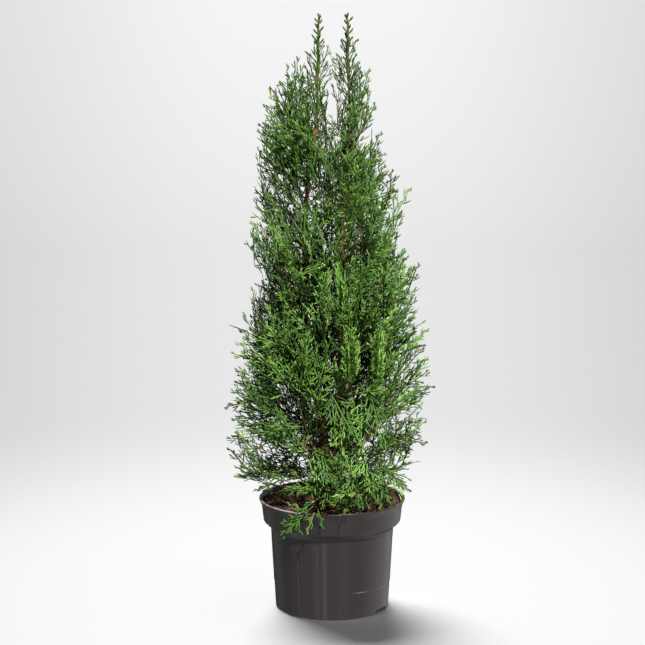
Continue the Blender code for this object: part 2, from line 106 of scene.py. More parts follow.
def add_mesh(name, points, faces, finish, smooth=True):
    """A new object from arrays: points is (n, 3), and faces is (m, 3) or (m, 4), or a list of such arrays."""
    groups = faces if isinstance(faces, list) else [faces]
    starts, corners, begun = [], [], 0
    for group in groups:
        count, size = group.shape
        starts.append(begun + np.arange(count) * size)
        corners.append(group.reshape(-1))
        begun += count * size
    starts, corners = np.concatenate(starts), np.concatenate(corners)
    mesh = bpy.data.meshes.new(name)
    mesh.vertices.add(len(points))
    mesh.vertices.foreach_set("co", np.asarray(points, dtype=np.float32).reshape(-1))
    mesh.loops.add(len(corners))
    mesh.loops.foreach_set("vertex_index", corners.astype(np.int32))
    mesh.polygons.add(len(starts))
    mesh.polygons.foreach_set("loop_start", starts.astype(np.int32))
    mesh.update(calc_edges=True)
    mesh.validate()
    if smooth:
        mesh.shade_smooth()
    else:
        mesh.shade_flat()
    mesh.materials.append(finish)
    piece = bpy.data.objects.new(name, mesh)
    bpy.context.scene.collection.objects.link(piece)
    return piece


def add_piece(name, points, faces, finish, nodes=(), smooth=True):
    """A piece of the object: it rides on the part's one body and stands for the named solids."""
    piece = add_mesh(name, points, faces, finish, smooth)
    plant_pieces.objects.link(piece)
    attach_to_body(piece, "root")
    if nodes:
        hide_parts(*nodes)
    return piece


# %% [markdown]
# ## Helpers for finishes
#
# A finish is a node tree. The class below builds one step by step, so each line of a recipe reads as a
# sum, a product, a ramp or noise. Patterns use Object coordinates, which stay with the piece.


# %% Finish helpers
class Nodes:
    """A node tree built step by step. Every method but add returns the output of what it made."""

    def __init__(self, tree):
        self.tree = tree

    def add(self, kind, inputs=None, **settings):
        """A new node. Inputs are numbers, colours, or other nodes' outputs to join."""
        node = self.tree.nodes.new(kind)
        for key, value in settings.items():
            setattr(node, key, value)
        for key, value in (inputs or {}).items():
            if hasattr(value, "links"):
                self.tree.links.new(value, node.inputs[key])
            else:
                node.inputs[key].default_value = value
        return node

    def maths(self, operation, first, second=0.0):
        """One sum, product or other operation on two numbers or outputs."""
        return self.add("ShaderNodeMath", {0: first, 1: second}, operation=operation).outputs[0]

    def plus(self, first, *others):
        """The sum of all."""
        for other in others:
            first = self.maths("ADD", first, other)
        return first

    def minus(self, first, second):
        """The first less the second."""
        return self.maths("SUBTRACT", first, second)

    def times(self, first, *others):
        """The product of all."""
        for other in others:
            first = self.maths("MULTIPLY", first, other)
        return first

    def remap(self, value, low, high, to_low=0.0, to_high=1.0, kind="LINEAR"):
        """Value from low to high becomes to_low to to_high, and stays there beyond."""
        node = self.add("ShaderNodeMapRange", {
            "Value": value, "From Min": low, "From Max": high, "To Min": to_low, "To Max": to_high,
        }, interpolation_type=kind)
        return node.outputs["Result"]

    def step(self, value, low, high):
        """Nothing at low, rising smoothly to one at high."""
        return self.remap(value, low, high, kind="SMOOTHSTEP")

    def near(self, value, place, inner, outer):
        """One where value is within inner of place, falling smoothly to nothing at outer."""
        return self.step(self.maths("ABSOLUTE", self.minus(value, place)), outer, inner)

    def ramp(self, factor, stops):
        """A colour that runs through the stops, each a place on the factor and a colour."""
        node = self.add("ShaderNodeValToRGB", {"Fac": factor})
        elements = node.color_ramp.elements
        while len(elements) < len(stops):
            elements.new(0.5)
        for k, (place, colour) in enumerate(stops):
            elements[k].position = place
            elements[k].color = (*colour, 1.0)
        return node.outputs["Color"]

    def blend(self, factor, low, high, colours):
        """A ramp from the first to the last colour while factor goes from low to high."""
        places = [low + (high - low) * k / (len(colours) - 1) for k in range(len(colours))]
        return self.ramp(factor, list(zip(places, colours)))


def plain_finish(name, colour, roughness, specular=0.5):
    """A material of one colour."""
    finish = bpy.data.materials.new(name)
    finish.use_nodes = True
    shader = finish.node_tree.nodes["Principled BSDF"]
    shader.inputs["Base Color"].default_value = (*colour, 1.0)
    shader.inputs["Roughness"].default_value = roughness
    shader.inputs["Specular IOR Level"].default_value = specular
    return finish


class Finish(Nodes):
    """The nodes of a new material, whose link method joins an output to its shader."""

    def __init__(self, name, colour, roughness, specular=0.5):
        self.material = plain_finish(name, colour, roughness, specular)
        super().__init__(self.material.node_tree)
        self.shader = self.tree.nodes["Principled BSDF"]
        self.place = self.add("ShaderNodeTexCoord").outputs["Object"]

    def link(self, output, key):
        self.tree.links.new(output, self.shader.inputs[key])

    def noise(self, scale, detail=4.0, stretch=(1.0, 1.0, 1.0)):
        """Noise on Object coordinates, drawn out along the axes."""
        mapping = self.add("ShaderNodeMapping", {"Vector": self.place, "Scale": stretch})
        node = self.add("ShaderNodeTexNoise", {
            "Vector": mapping.outputs["Vector"], "Scale": scale, "Detail": detail, "Roughness": 0.6})
        return node.outputs["Fac"]

    def bump(self, height, distance):
        """Raises the surface by height times distance."""
        node = self.add("ShaderNodeBump", {"Height": height, "Distance": distance, "Strength": 1.0})
        self.link(node.outputs["Normal"], "Normal")


# %% [markdown]
# ## The studio
#
# The photo was taken in a white studio. One large plane is the floor. Its colour paints light and shade: it
# is palest in a painted pool of light round the pot, greyer a metre off, and a little paler again far away:
# the distance from the origin picks the level. A pale lane of painted light widens behind the plant, and
# painted shade makes the floor dimmer beside it and in front of the plant.

# %% Floor
FLOOR_HALF = 40.0
LIGHT_POOL_EDGE = (0.25, 1.6)
LIGHT_POOL_LEVELS = (0.92, 0.735)
FAR_NEARNESS = (0.25, 0.038)
FAR_RISE = 0.095
LANE_START = 5.0
LANE_WIDTH = 3.0
LANE_SLOPE = (0.02, 0.165)
LANE_FADE = (-0.5, -2.5)
LANE_PAINTED_SHADE = (0.06, 0.23)


def beside_painted_lane(finish):
    """Nothing on a painted lane of light that widens behind the plant, rising to one beside it and in front
    of the plant.
    """
    place = finish.add("ShaderNodeSeparateXYZ", {"Vector": finish.place}).outputs
    width = finish.maths("MAXIMUM", finish.plus(place["Y"], LANE_START), LANE_WIDTH)
    aside = finish.maths("DIVIDE", finish.maths("ABSOLUTE", place["X"]), width)
    beside = finish.step(aside, *LANE_SLOPE)
    return finish.maths("MAXIMUM", beside, finish.step(place["Y"], *LANE_FADE))


corners = np.array([(x, y, 0.0) for y in (-FLOOR_HALF, FLOOR_HALF) for x in (-FLOOR_HALF, FLOOR_HALF)])
floor_finish = Finish("studio_floor", (0.8, 0.8, 0.8), 0.9, 0.1)
measure = floor_finish.add("ShaderNodeVectorMath", {0: floor_finish.place}, operation="LENGTH")
distance = measure.outputs["Value"]
# Painted light and shade: a pool of light round the pot, a paler far floor, and shade beside a lit lane.
painted_light_pool = floor_finish.remap(distance, *LIGHT_POOL_EDGE, kind="SMOOTHERSTEP")
nearness = floor_finish.maths("DIVIDE", 1.0, distance)
far = floor_finish.remap(nearness, *FAR_NEARNESS, to_high=FAR_RISE)
level = floor_finish.plus(floor_finish.remap(painted_light_pool, 0.0, 1.0, *LIGHT_POOL_LEVELS), far)
painted_floor_shade = floor_finish.times(beside_painted_lane(floor_finish), floor_finish.remap(painted_light_pool, 0.0, 1.0, *LANE_PAINTED_SHADE))
floor_finish.link(floor_finish.times(level, floor_finish.minus(1.0, painted_floor_shade)), "Base Color")
floor = add_mesh("studio_floor", corners, np.array(((0, 1, 3, 2),)), floor_finish.material, smooth=False)

# %% [markdown]
# A view from low down looks past the floor. A wide round wall, almost forty metres away, stands behind it
# there. It glows at the level of the far floor, with the same painted lane of light, so no edge shows, and it
# neither lights nor shades the plant.

# %% Wall
WALL_RADIUS = 39.0
WALL_HEIGHT = 16.0
WALL_SIDES = 96
WALL_LIGHT = (0.928, 0.715)
angles = np.arange(WALL_SIDES) * 2 * math.pi / WALL_SIDES
wall_ring = np.stack((np.cos(angles), np.sin(angles), np.zeros(WALL_SIDES)), axis=-1) * WALL_RADIUS
wall_points = np.vstack((wall_ring, wall_ring + (0.0, 0.0, WALL_HEIGHT)))
wall_finish = Finish("studio_wall", (0.0, 0.0, 0.0), 1.0, 0.0)
wall_finish.shader.inputs["Emission Color"].default_value = (1.0, 1.0, 1.0, 1.0)
# The glow is painted light, brighter on the same lane as the floor.
wall_finish.link(wall_finish.remap(beside_painted_lane(wall_finish), 0.0, 1.0, *WALL_LIGHT), "Emission Strength")
wall = add_mesh("studio_wall", wall_points, ring_faces(2, WALL_SIDES), wall_finish.material)
for kind in ("visible_diffuse", "visible_glossy", "visible_shadow", "visible_transmission"):
    setattr(wall, kind, False)

# %% [markdown]
# Floor and plant are lit apart, as a photographer flags lamps. One soft light from behind falls on the
# floor alone, and lets the pot's shadow, and no other, fall softly to the front right. The key falls on
# plant and pot from the front right and above, and draws the sprays with lit edges and dark gaps. A weaker
# light from the back right lights their edge. Four wide suns from below the horizon stand in for the light
# that the floor throws against the pot, and light the pot alone. The crown is lit from below by the lower
# half of the world, whose strength can be chosen. The world is brightest towards the back right.


# %% Light
def add_sun(name, bearing, height, strength, softness, lit, blockers=None):
    """Sunlight on a collection alone, from a bearing, 0 from the front and 90 from the left, and a height.
    If blockers are given, only they cast its shadow."""
    data = bpy.data.lights.new(name, "SUN")
    data.energy = strength
    data.angle = math.radians(softness)
    lamp = bpy.data.objects.new(name, data)
    lamp.rotation_euler = (math.radians(90 - height), 0.0, math.radians(-bearing))
    lamp.light_linking.receiver_collection = lit
    if blockers:
        lamp.light_linking.blocker_collection = blockers
    bpy.context.scene.collection.objects.link(lamp)


plant_pieces = bpy.data.collections.new("plant_pieces")
studio_pieces = bpy.data.collections.new("studio_pieces")
studio_pieces.objects.link(floor)
floor.visible_diffuse = False
floor.visible_glossy = False
pot_pieces = bpy.data.collections.new("pot_pieces")
add_sun("floor_light", 161.0, 44.0, 4.13, 42.0, studio_pieces, pot_pieces)
add_sun("key", -20.0, 50.0, 7.1, 2.5, plant_pieces)
add_sun("edge", -148.0, 44.0, 2.2, 14.0, plant_pieces)
add_sun("bounce_left", 100.0, -12.0, 0.42, 80.0, pot_pieces, pot_pieces)
add_sun("bounce_front", 5.0, -12.0, 0.27, 80.0, pot_pieces, pot_pieces)
add_sun("bounce_right", -112.0, -12.0, 1.15, 80.0, pot_pieces, pot_pieces)
add_sun("bounce_below", 0.0, -70.0, 1.30, 110.0, pot_pieces, pot_pieces)

# %% World
SKY_LEVELS = ((0.40, 0.10), (0.49, 0.18), (0.56, 0.33), (0.80, 0.15))
BRIGHT_SIDE = (0.75, 0.65, 0.0)
SIDE_SPAN = (-0.8, 0.8)
SIDE_STRENGTHS = (0.28, 1.45)
world = bpy.data.worlds.new("studio")
world.use_nodes = True
sky = Nodes(world.node_tree)
view = sky.add("ShaderNodeTexCoord").outputs["Generated"]
upward = sky.add("ShaderNodeSeparateXYZ", {"Vector": view}).outputs["Z"]
sky_colour = sky.ramp(sky.remap(upward, -1.0, 1.0), [(place, (level,) * 3) for place, level in SKY_LEVELS])
side = sky.add("ShaderNodeVectorMath", {0: view, 1: BRIGHT_SIDE}, operation="DOT_PRODUCT")
strength = sky.remap(side.outputs["Value"], *SIDE_SPAN, *SIDE_STRENGTHS)
background = sky.tree.nodes["Background"]
sky.tree.links.new(sky_colour, background.inputs["Color"])
sky.tree.links.new(strength, background.inputs["Strength"])
bpy.context.scene.world = world
bpy.context.scene.view_settings.view_transform = "Standard"

# %% [markdown]
# ## The pot
#
# A nursery pot is blown or moulded from thin polypropylene: a tapered body, a broad upper band that
# lets pots nest, and a lip that is rolled outward. Such a shape is one profile turned about an axis.
# The profile is a list of radius and height, rounded at its corners, and a point of the surface is
# (r cos a, r sin a, z). Two things differ round the pot: the base ring is notched in three places, and
# fine ribs run up the body. The notches lift the ring's lowest points where the angle is inside one, and a
# few rows close above keep the wall's smooth shading even. The ribs are so shallow that the finish draws
# them.

# %% Pot sizes, most of them as in the source
POT_HEIGHT = 0.172
RIM_RADIUS = 0.1125
BAND_RADIUS = 0.1080
BAND_FOOT_RADIUS = 0.1055
BAND_FOOT_HEIGHT = 0.137
SHOULDER_RADIUS = 0.0945
SHOULDER_HEIGHT = 0.127
BASE_RADIUS = 0.0869
WALL = 0.0018
LIP_DEPTH = 0.0065
LIP_SPREAD = 0.0018
LIP_EDGE = 0.0020
LIP_ROUND = 0.0006
LIP_WIDTH = 0.0034
FLOOR_HEIGHT = 0.0080
FLOOR_THICKNESS = 0.0020
BASE_RING = 0.0045
BEAD_HEIGHT = 0.0410
BEAD_STEP = 0.0005
NOTCHES = 3
FIRST_NOTCH = 90.0
NOTCH_WIDTH = 0.036
NOTCH_HEIGHT = 0.0065
NOTCH_SHOULDER = 1.6
SOIL_TOP = 0.1585
CORNER_REACH = 0.0016
ROWS_OVER_NOTCH = (0.0072, 0.0085, 0.0120)
POT_SIDES = 288


# %% Pot surface
def wall_radius(height):
    """The pot's outer radius on its tapered body."""
    return BASE_RADIUS + height / SHOULDER_HEIGHT * (SHOULDER_RADIUS - BASE_RADIUS)


def curve(start, knee, end, t):
    """The curve that leaves start towards knee and reaches end from knee: the three are mixed by (1 - t)^2,
    2 t (1 - t) and t^2."""
    return (1 - t) ** 2 * start + 2 * t * (1 - t) * knee + t**2 * end


def bezier(start, knee, end, count):
    """Points at even steps of t on that curve."""
    return curve(start, knee, end, np.linspace(0, 1, count)[:, None])


def rounded(profile, reach, steps=4):
    """Each corner becomes a small curve that leaves one edge and meets the next, within reach of it."""
    profile = np.array(profile)
    made = [profile[:1]]
    for before, corner, after in zip(profile, profile[1:], profile[2:]):
        cut = []
        for end in (before, after):
            run = end - corner
            length = np.hypot(*run)
            cut.append(corner + run / length * min(reach, length * 0.45))
        made.append(bezier(cut[0], corner, cut[1], steps))
    made.append(profile[-1:])
    return np.vstack(made)


def revolve(profile, around):
    """Points (r cos a, r sin a, z) for each profile row and angle, with faces. The first row and the last lie
    on the axis and are poles."""
    angles = np.arange(around) * 2 * math.pi / around
    radius, height = profile[:, 0, None], profile[:, 1, None]
    rings = np.stack(np.broadcast_arrays(
        radius * np.cos(angles), radius * np.sin(angles), height), axis=-1)[None]
    return closed_tubes(rings[:, 1:-1], rings[:, 0, :1], rings[:, -1, :1])


def notch_lift(points):
    """How high the base ring is cut at each point: a plateau inside each notch, with rounded shoulders."""
    angle = np.degrees(np.arctan2(points[:, 1], points[:, 0]))
    spacing = 360 / NOTCHES
    off = (angle - FIRST_NOTCH + spacing / 2) % spacing - spacing / 2
    half = math.degrees(NOTCH_WIDTH / 2 / BASE_RADIUS)
    edge = np.clip((half - np.abs(off)) / NOTCH_SHOULDER, 0, 1)
    return NOTCH_HEIGHT * np.sqrt(1 - (1 - edge) ** 2)


pot_profile = [
    (0.0, FLOOR_HEIGHT),
    (BASE_RADIUS - BASE_RING, FLOOR_HEIGHT),
    (BASE_RADIUS - BASE_RING, 0.0),
    (BASE_RADIUS, 0.0),
    (wall_radius(BEAD_HEIGHT), BEAD_HEIGHT),
    (wall_radius(BEAD_HEIGHT) + BEAD_STEP, BEAD_HEIGHT + BEAD_STEP),
    (SHOULDER_RADIUS, SHOULDER_HEIGHT),
    (BAND_FOOT_RADIUS, BAND_FOOT_HEIGHT),
    (BAND_RADIUS, POT_HEIGHT - 2 * LIP_DEPTH),
    (BAND_RADIUS + LIP_SPREAD, POT_HEIGHT - LIP_DEPTH),
    (RIM_RADIUS, POT_HEIGHT - LIP_EDGE),
    (RIM_RADIUS - LIP_ROUND, POT_HEIGHT),
    (RIM_RADIUS - LIP_WIDTH, POT_HEIGHT),
    (BAND_RADIUS - WALL, POT_HEIGHT - LIP_DEPTH),
    (BAND_FOOT_RADIUS - WALL, BAND_FOOT_HEIGHT + WALL / 2),
    (SHOULDER_RADIUS - WALL, SHOULDER_HEIGHT + WALL / 2),
    (wall_radius(FLOOR_HEIGHT) - WALL, FLOOR_HEIGHT + FLOOR_THICKNESS),
    (0.0, FLOOR_HEIGHT + FLOOR_THICKNESS),
]
pot_rows = rounded(pot_profile, CORNER_REACH)
above_notch = int(np.argmax(pot_rows[:, 1] > BEAD_HEIGHT / 2))
extra_rows = [(wall_radius(height), height) for height in ROWS_OVER_NOTCH]
pot_points, pot_faces = revolve(np.insert(pot_rows, above_notch, extra_rows, axis=0), POT_SIDES)
ring = pot_points[:, 2] < NOTCH_HEIGHT
pot_points[ring, 2] = np.maximum(pot_points[ring, 2], notch_lift(pot_points[ring]))
print("pot:", len(pot_points), "points")

# %% [markdown]
# The plastic is a warm near-black with a satin gloss. It flows upward in the mould and leaves fine
# vertical streaks and ribs. Noise that depends only on the angle round the pot makes the streaks, and
# a second, slower one lets them come and go. The angle is the arctangent of Y and X. Light and shade are
# also painted into the colour, all given by their angles: a group of bright streaks at the front left is a
# painted highlight, as are a light line on the rim beside it and two short lines on the fine line round the
# foot. A painted shade darkens the body left of the front, and painted bounce light lifts the slope under
# the band.

# %% Pot plastic
RIBS = 132.0
RIB_HEIGHT = 0.00004
GLINT_ANGLE = math.radians(-101.0)
GLINT_WIDTH = (0.06, 0.20)
GLINT_RISE = 0.34
SHADED_SIDE_ANGLE = math.radians(-112.0)
SHADED_SIDE_WIDTH = (0.08, 0.30)
SHADED_SIDE_DROP = 0.09
RIM_HIGHLIGHT_ANGLE = math.radians(-138.0)
RIM_HIGHLIGHT_WIDTH = (0.2, 0.75)
RIDGE_HIGHLIGHTS = ((-62.0, 4.0, 14.0), (-31.0, 2.0, 7.0))
RIDGE_HIGHLIGHT_RISE = 0.42
UNDER_BAND_BOUNCE_RISE = 0.08
PLASTIC_COLOURS = (
    (0.0110, 0.0088, 0.0076),
    (0.0220, 0.0172, 0.0168),
    (0.0700, 0.0600, 0.0580),
    (0.3000, 0.2700, 0.2600),
)
plastic = Finish("pot_plastic", (0.020, 0.016, 0.016), 0.40, 0.38)
split = plastic.add("ShaderNodeSeparateXYZ", {"Vector": plastic.place}).outputs
height = split["Z"]
angle = plastic.maths("ARCTAN2", split["Y"], split["X"])


def round_pot(scale, detail):
    """Noise that changes with the angle round the pot alone."""
    inputs = {"W": angle, "Scale": scale, "Detail": detail}
    return plastic.add("ShaderNodeTexNoise", inputs, noise_dimensions="1D").outputs["Fac"]


patch = round_pot(1.7, 1.0)
streak = plastic.times(plastic.minus(round_pot(26.0, 3.0), 0.5), plastic.remap(patch, 0.0, 1.0, -0.20, 0.50))
# A painted highlight: bright streaks at the front left stand for a reflection of the light on the ribs.
painted_glint = plastic.times(
    plastic.remap(round_pot(60.0, 2.0), 0.45, 0.62, to_high=GLINT_RISE),
    plastic.near(angle, GLINT_ANGLE, *GLINT_WIDTH),
    plastic.step(height, SHOULDER_HEIGHT + 0.003, SHOULDER_HEIGHT),
)
# A painted highlight: a light line along the top of the rim at the front left.
rim_highlight = plastic.times(
    plastic.step(height, POT_HEIGHT - 0.0022, POT_HEIGHT - 0.0008),
    plastic.near(angle, RIM_HIGHLIGHT_ANGLE, *RIM_HIGHLIGHT_WIDTH),
)
# Painted shade: the body is darker a little left of the front.
painted_shade_patch = plastic.times(plastic.near(angle, SHADED_SIDE_ANGLE, *SHADED_SIDE_WIDTH), SHADED_SIDE_DROP)
shade = plastic.minus(plastic.plus(patch, streak, painted_glint, rim_highlight), painted_shade_patch)
# Painted highlights: two short light lines on the fine line round the foot, at the front right.
on_ridge = plastic.near(height, BEAD_HEIGHT + BEAD_STEP, 0.0003, 0.0009)
for glint_angles in RIDGE_HIGHLIGHTS:
    ridge_glint = plastic.near(angle, *(math.radians(value) for value in glint_angles))
    shade = plastic.plus(shade, plastic.times(ridge_glint, RIDGE_HIGHLIGHT_RISE, on_ridge))
# Painted light: the slope under the band is lighter, as if lit by light thrown up from the floor.
under_band_bounce = plastic.near(height, (SHOULDER_HEIGHT + BAND_FOOT_HEIGHT) / 2, 0.0040, 0.0055)
shade = plastic.plus(shade, plastic.times(under_band_bounce, UNDER_BAND_BOUNCE_RISE))
plastic.link(plastic.blend(shade, 0.28, 1.20, PLASTIC_COLOURS), "Base Color")
rib = plastic.maths("SINE", plastic.times(angle, RIBS))
on_body = plastic.step(height, SHOULDER_HEIGHT, SHOULDER_HEIGHT - 0.006)
plastic.bump(plastic.times(rib, on_body), RIB_HEIGHT)
scuffing = plastic.noise(38.0, 6.0, (1.0, 1.0, 0.3))
plastic.link(plastic.remap(scuffing, 0.0, 1.0, 0.26, 0.46), "Roughness")
pot = add_piece("nursery_pot", pot_points, pot_faces, plastic.material, ["pot"])
pot_pieces.objects.link(pot)

# %% [markdown]
# ## The soil
#
# The growing medium is reddish bark and dark peat. A bumpy disc alone would look like felt, so two
# layers are used: a turned body whose top is raised by waves of many lengths, and loose bark chips and
# fibres on it. The top's height is a sum of sines of x and y with random directions, which is a cheap
# smooth noise for whole arrays.


# %% Soil body
def ripple(points, shortest, longest, waves, seed):
    """A sum of sines of x and y with random directions and lengths, scaled to about -1 to 1."""
    rng = np.random.default_rng(seed)
    angle, phase = rng.uniform(0, 2 * math.pi, (2, waves))
    number = 2 * math.pi / rng.uniform(shortest, longest, waves)
    along = points[:, :1] * np.cos(angle) + points[:, 1:2] * np.sin(angle)
    return np.sin(along * number + phase).sum(1) / math.sqrt(waves)


SOIL_BANK = 0.0085
BANK_START = 0.056
BANK_WIDTH = 0.044
TRUNK_CLEARING = 0.014
CLEARING_EDGE = 0.012


def soil_relief(points):
    """How far each point of the top is raised: long and short waves, which end round the trunk, and a smooth
    step of loose bark that is heaped up towards the wall."""
    distance = np.hypot(points[:, 0], points[:, 1])
    settle = np.clip((distance - TRUNK_CLEARING) / CLEARING_EDGE, 0, 1)
    rough = 0.0014 * ripple(points, 0.018, 0.05, 24, 3) + 0.0011 * ripple(points, 0.004, 0.011, 60, 4)
    t = np.clip((distance - BANK_START) / BANK_WIDTH, 0, 1)
    return settle * rough + SOIL_BANK * t * t * (3 - 2 * t)


SOIL_GAP = 0.0004
SOIL_EDGE = 0.1035
SOIL_RINGS = np.linspace(0.1020, 0.0, 52)
SOIL_SIDES = 200
soil_floor = FLOOR_HEIGHT + FLOOR_THICKNESS + SOIL_GAP
soil_profile = np.array([
    (0.0, soil_floor),
    (wall_radius(soil_floor) - WALL - SOIL_GAP, soil_floor),
    (SHOULDER_RADIUS - WALL - SOIL_GAP, SHOULDER_HEIGHT + WALL),
    (BAND_FOOT_RADIUS - WALL - SOIL_GAP, BAND_FOOT_HEIGHT + WALL),
    (SOIL_EDGE, SOIL_TOP - 0.002),
    *((radius, SOIL_TOP) for radius in SOIL_RINGS),
])
soil_points, soil_faces = revolve(soil_profile, SOIL_SIDES)
top = soil_points[:, 2] > SOIL_TOP - 0.0025
soil_points[top, 2] += soil_relief(soil_points[top])

peat = Finish("soil_dark", (0.030, 0.016, 0.010), 0.95)
peat_colours = ((0.006, 0.004, 0.003), (0.040, 0.015, 0.008), (0.120, 0.044, 0.020))
peat.link(peat.blend(peat.noise(330.0, 8.0), 0.36, 0.68, peat_colours), "Base Color")
peat.bump(peat.noise(900.0, 8.0), 0.0008)
add_piece("growing_medium_top", soil_points, soil_faces, peat.material, ["growing_medium"])
print("soil:", len(soil_points), "points")


# %% Bark chips and fibres
def spun(first, second, angle):
    """Two coordinates of each chip's corners, turned by the chip's own angle."""
    c, s = np.cos(angle)[:, None], np.sin(angle)[:, None]
    return first * c - second * s, first * s + second * c


CHIP_WIDTHS = (0.0016, 0.0042)
CHIP_THICKNESSES = (0.0008, 0.0020)
CHIP_RADIUS = 0.0995
CHIP_LIFT = (-0.0003, 0.0012)


def chips(count, seed, longest):
    """Split bark pieces: a box of eight corners each, every corner shifted at random, then turned and laid
    down."""
    rng = np.random.default_rng(seed)
    corners = np.array([(x, y, z) for z in (-1, 1) for x, y in ((-1, -1), (1, -1), (1, 1), (-1, 1))]) * 0.5
    size = np.stack((rng.uniform(0.4, 1, count) * longest, rng.uniform(*CHIP_WIDTHS, count),
                     rng.uniform(*CHIP_THICKNESSES, count)), axis=-1)
    shape = corners[None] * size[:, None] * rng.uniform(0.55, 1.15, (count, 8, 3))
    yaw = rng.uniform(0, 2 * math.pi, count)
    tilt = rng.normal(0, 0.28, count)
    roll = rng.normal(0, 0.5, count)
    x, y, z = shape[..., 0], shape[..., 1], shape[..., 2]
    y, z = spun(y, z, roll)
    x, z = spun(x, z, tilt)
    x, y = spun(x, y, yaw)
    radius = CHIP_RADIUS * np.sqrt(rng.uniform(0.03, 1, count))
    bearing = rng.uniform(0, 2 * math.pi, count)
    place = np.stack((radius * np.cos(bearing), radius * np.sin(bearing), np.full(count, SOIL_TOP)), axis=-1)
    place[:, 2] += soil_relief(place) + rng.uniform(*CHIP_LIFT, count)
    points = (np.stack((x, y, z), axis=-1) + place[:, None]).reshape(-1, 3)
    box = np.array(((0, 3, 2, 1), (4, 5, 6, 7), (0, 1, 5, 4), (1, 2, 6, 5), (2, 3, 7, 6), (3, 0, 4, 7)))
    return points, (box[None] + 8 * np.arange(count)[:, None, None]).reshape(-1, 4)


CHIP_KINDS = (
    ("bark_chips_dark", 950, 0.011, (0.020, 0.010, 0.006), (0.052, 0.024, 0.014)),
    ("bark_chips_red", 620, 0.013, (0.085, 0.026, 0.011), (0.200, 0.070, 0.030)),
    ("bark_chips_tan", 150, 0.012, (0.200, 0.130, 0.075), (0.330, 0.230, 0.140)),
)
for number, (name, count, longest, low_colour, high_colour) in enumerate(CHIP_KINDS):
    chip = Finish(name, high_colour, 0.9)
    chip.link(chip.blend(chip.noise(260.0, 5.0), 0.35, 0.65, [low_colour, high_colour]), "Base Color")
    chip_points, chip_faces = chips(count, 20 + number, longest)
    add_piece(name, chip_points, chip_faces, chip.material, smooth=False)
    print(name, count)

# %% [markdown]
# ## The wood
#
# The trunk is short and forks into two leaders a few centimetres above the soil. Each limb is given by
# a few rows of place and radius, and a smooth curve is drawn through the rows. A limb's surface is a
# ring of points square to the curve at each step, and its radius is raised and lowered by long ridges,
# because the bark of this conifer peels in strips that run along the limb.

# %% Limb sizes, as in the source
CLEAR = 0.0003
TRUNK_FOOT = SOIL_TOP + CLEAR
FORK_HEIGHT = 0.2200
FORK_SPREAD = 0.0052
TRUNK = (
    (0.0000, 0.000, TRUNK_FOOT, 0.0135),
    (0.0000, 0.000, TRUNK_FOOT + 0.010, 0.0108),
    (0.0000, 0.000, TRUNK_FOOT + 0.028, 0.0101),
    (0.0000, 0.000, FORK_HEIGHT, 0.0102),
)
LEADER_LEFT = (
    (-FORK_SPREAD, 0.000, FORK_HEIGHT + CLEAR, 0.0048),
    (-0.0200, 0.003, 0.300, 0.0046),
    (-0.0380, 0.006, 0.420, 0.0042),
    (-0.0420, 0.004, 0.530, 0.0037),
    (-0.0370, 0.002, 0.650, 0.0031),
    (-0.0255, 0.000, 0.730, 0.0026),
    (-0.0210, 0.000, 0.825, 0.0019),
)
LEADER_RIGHT = (
    (FORK_SPREAD, 0.000, FORK_HEIGHT + CLEAR, 0.0048),
    (0.0110, -0.004, 0.330, 0.0046),
    (0.0155, -0.008, 0.460, 0.0041),
    (0.0140, -0.006, 0.580, 0.0036),
    (0.0280, -0.004, 0.690, 0.0029),
    (0.0280, -0.002, 0.750, 0.0025),
    (0.0230, 0.000, 0.825, 0.0019),
)
LIMB_STEP = 0.045
TREE_TOP = 0.913
UP = np.array((0.0, 0.0, 1.0))


# %% Curves and directions
def unit(vector):
    """The same direction with length one, for one vector or a row of them."""
    return vector / np.linalg.norm(vector, axis=-1, keepdims=True)


def turned(vector, axis, degrees):
    """The vector turned about a unit axis, by Rodrigues' formula."""
    a = math.radians(degrees)
    along = axis * (axis @ vector) * (1 - math.cos(a))
    return vector * math.cos(a) + np.cross(axis, vector) * math.sin(a) + along


def outward(degrees):
    """The level direction at an angle round the plant."""
    a = math.radians(degrees)
    return np.array((math.cos(a), math.sin(a), 0.0))


def smooth(rows, step):
    """A Catmull-Rom curve through rows of x, y, z, radius, with a ring about every step."""
    rows = np.array(rows)
    padded = np.vstack((2 * rows[0] - rows[1], rows, 2 * rows[-1] - rows[-2]))
    pieces = []
    for a, b, c, d in zip(padded, padded[1:], padded[2:], padded[3:]):
        count = max(1, round(np.linalg.norm(c[:3] - b[:3]) / step))
        t = np.arange(count)[:, None] / count
        pieces.append(0.5 * (2 * b + (c - a) * t + (2 * a - 5 * b + 4 * c - d) * t**2
                             + (3 * b - a - 3 * c + d) * t**3))
    return np.vstack((*pieces, rows[-1:]))


def with_radii(path, first, last):
    """The path with a radius that tapers evenly from first to last in a fourth column."""
    return np.column_stack((path, np.linspace(first, last, len(path))))


# %% Bark-covered limbs
def rings_round(paths, radii, around):
    """Rings of points square to each path (..., point, xyz), at radii for each point and angle round it."""
    tangent = unit(np.gradient(paths, axis=-2))
    chord = paths[..., -1:, :] - paths[..., :1, :]
    across = unit(np.cross(np.cross(chord, UP) + (1e-4, 2e-4, 0.0), tangent))
    other = np.cross(tangent, across)
    angle = (np.arange(around) * 2 * math.pi / around)[:, None]
    aside = np.cos(angle) * across[..., None, :] + np.sin(angle) * other[..., None, :]
    return paths[..., None, :] + radii[..., None] * aside


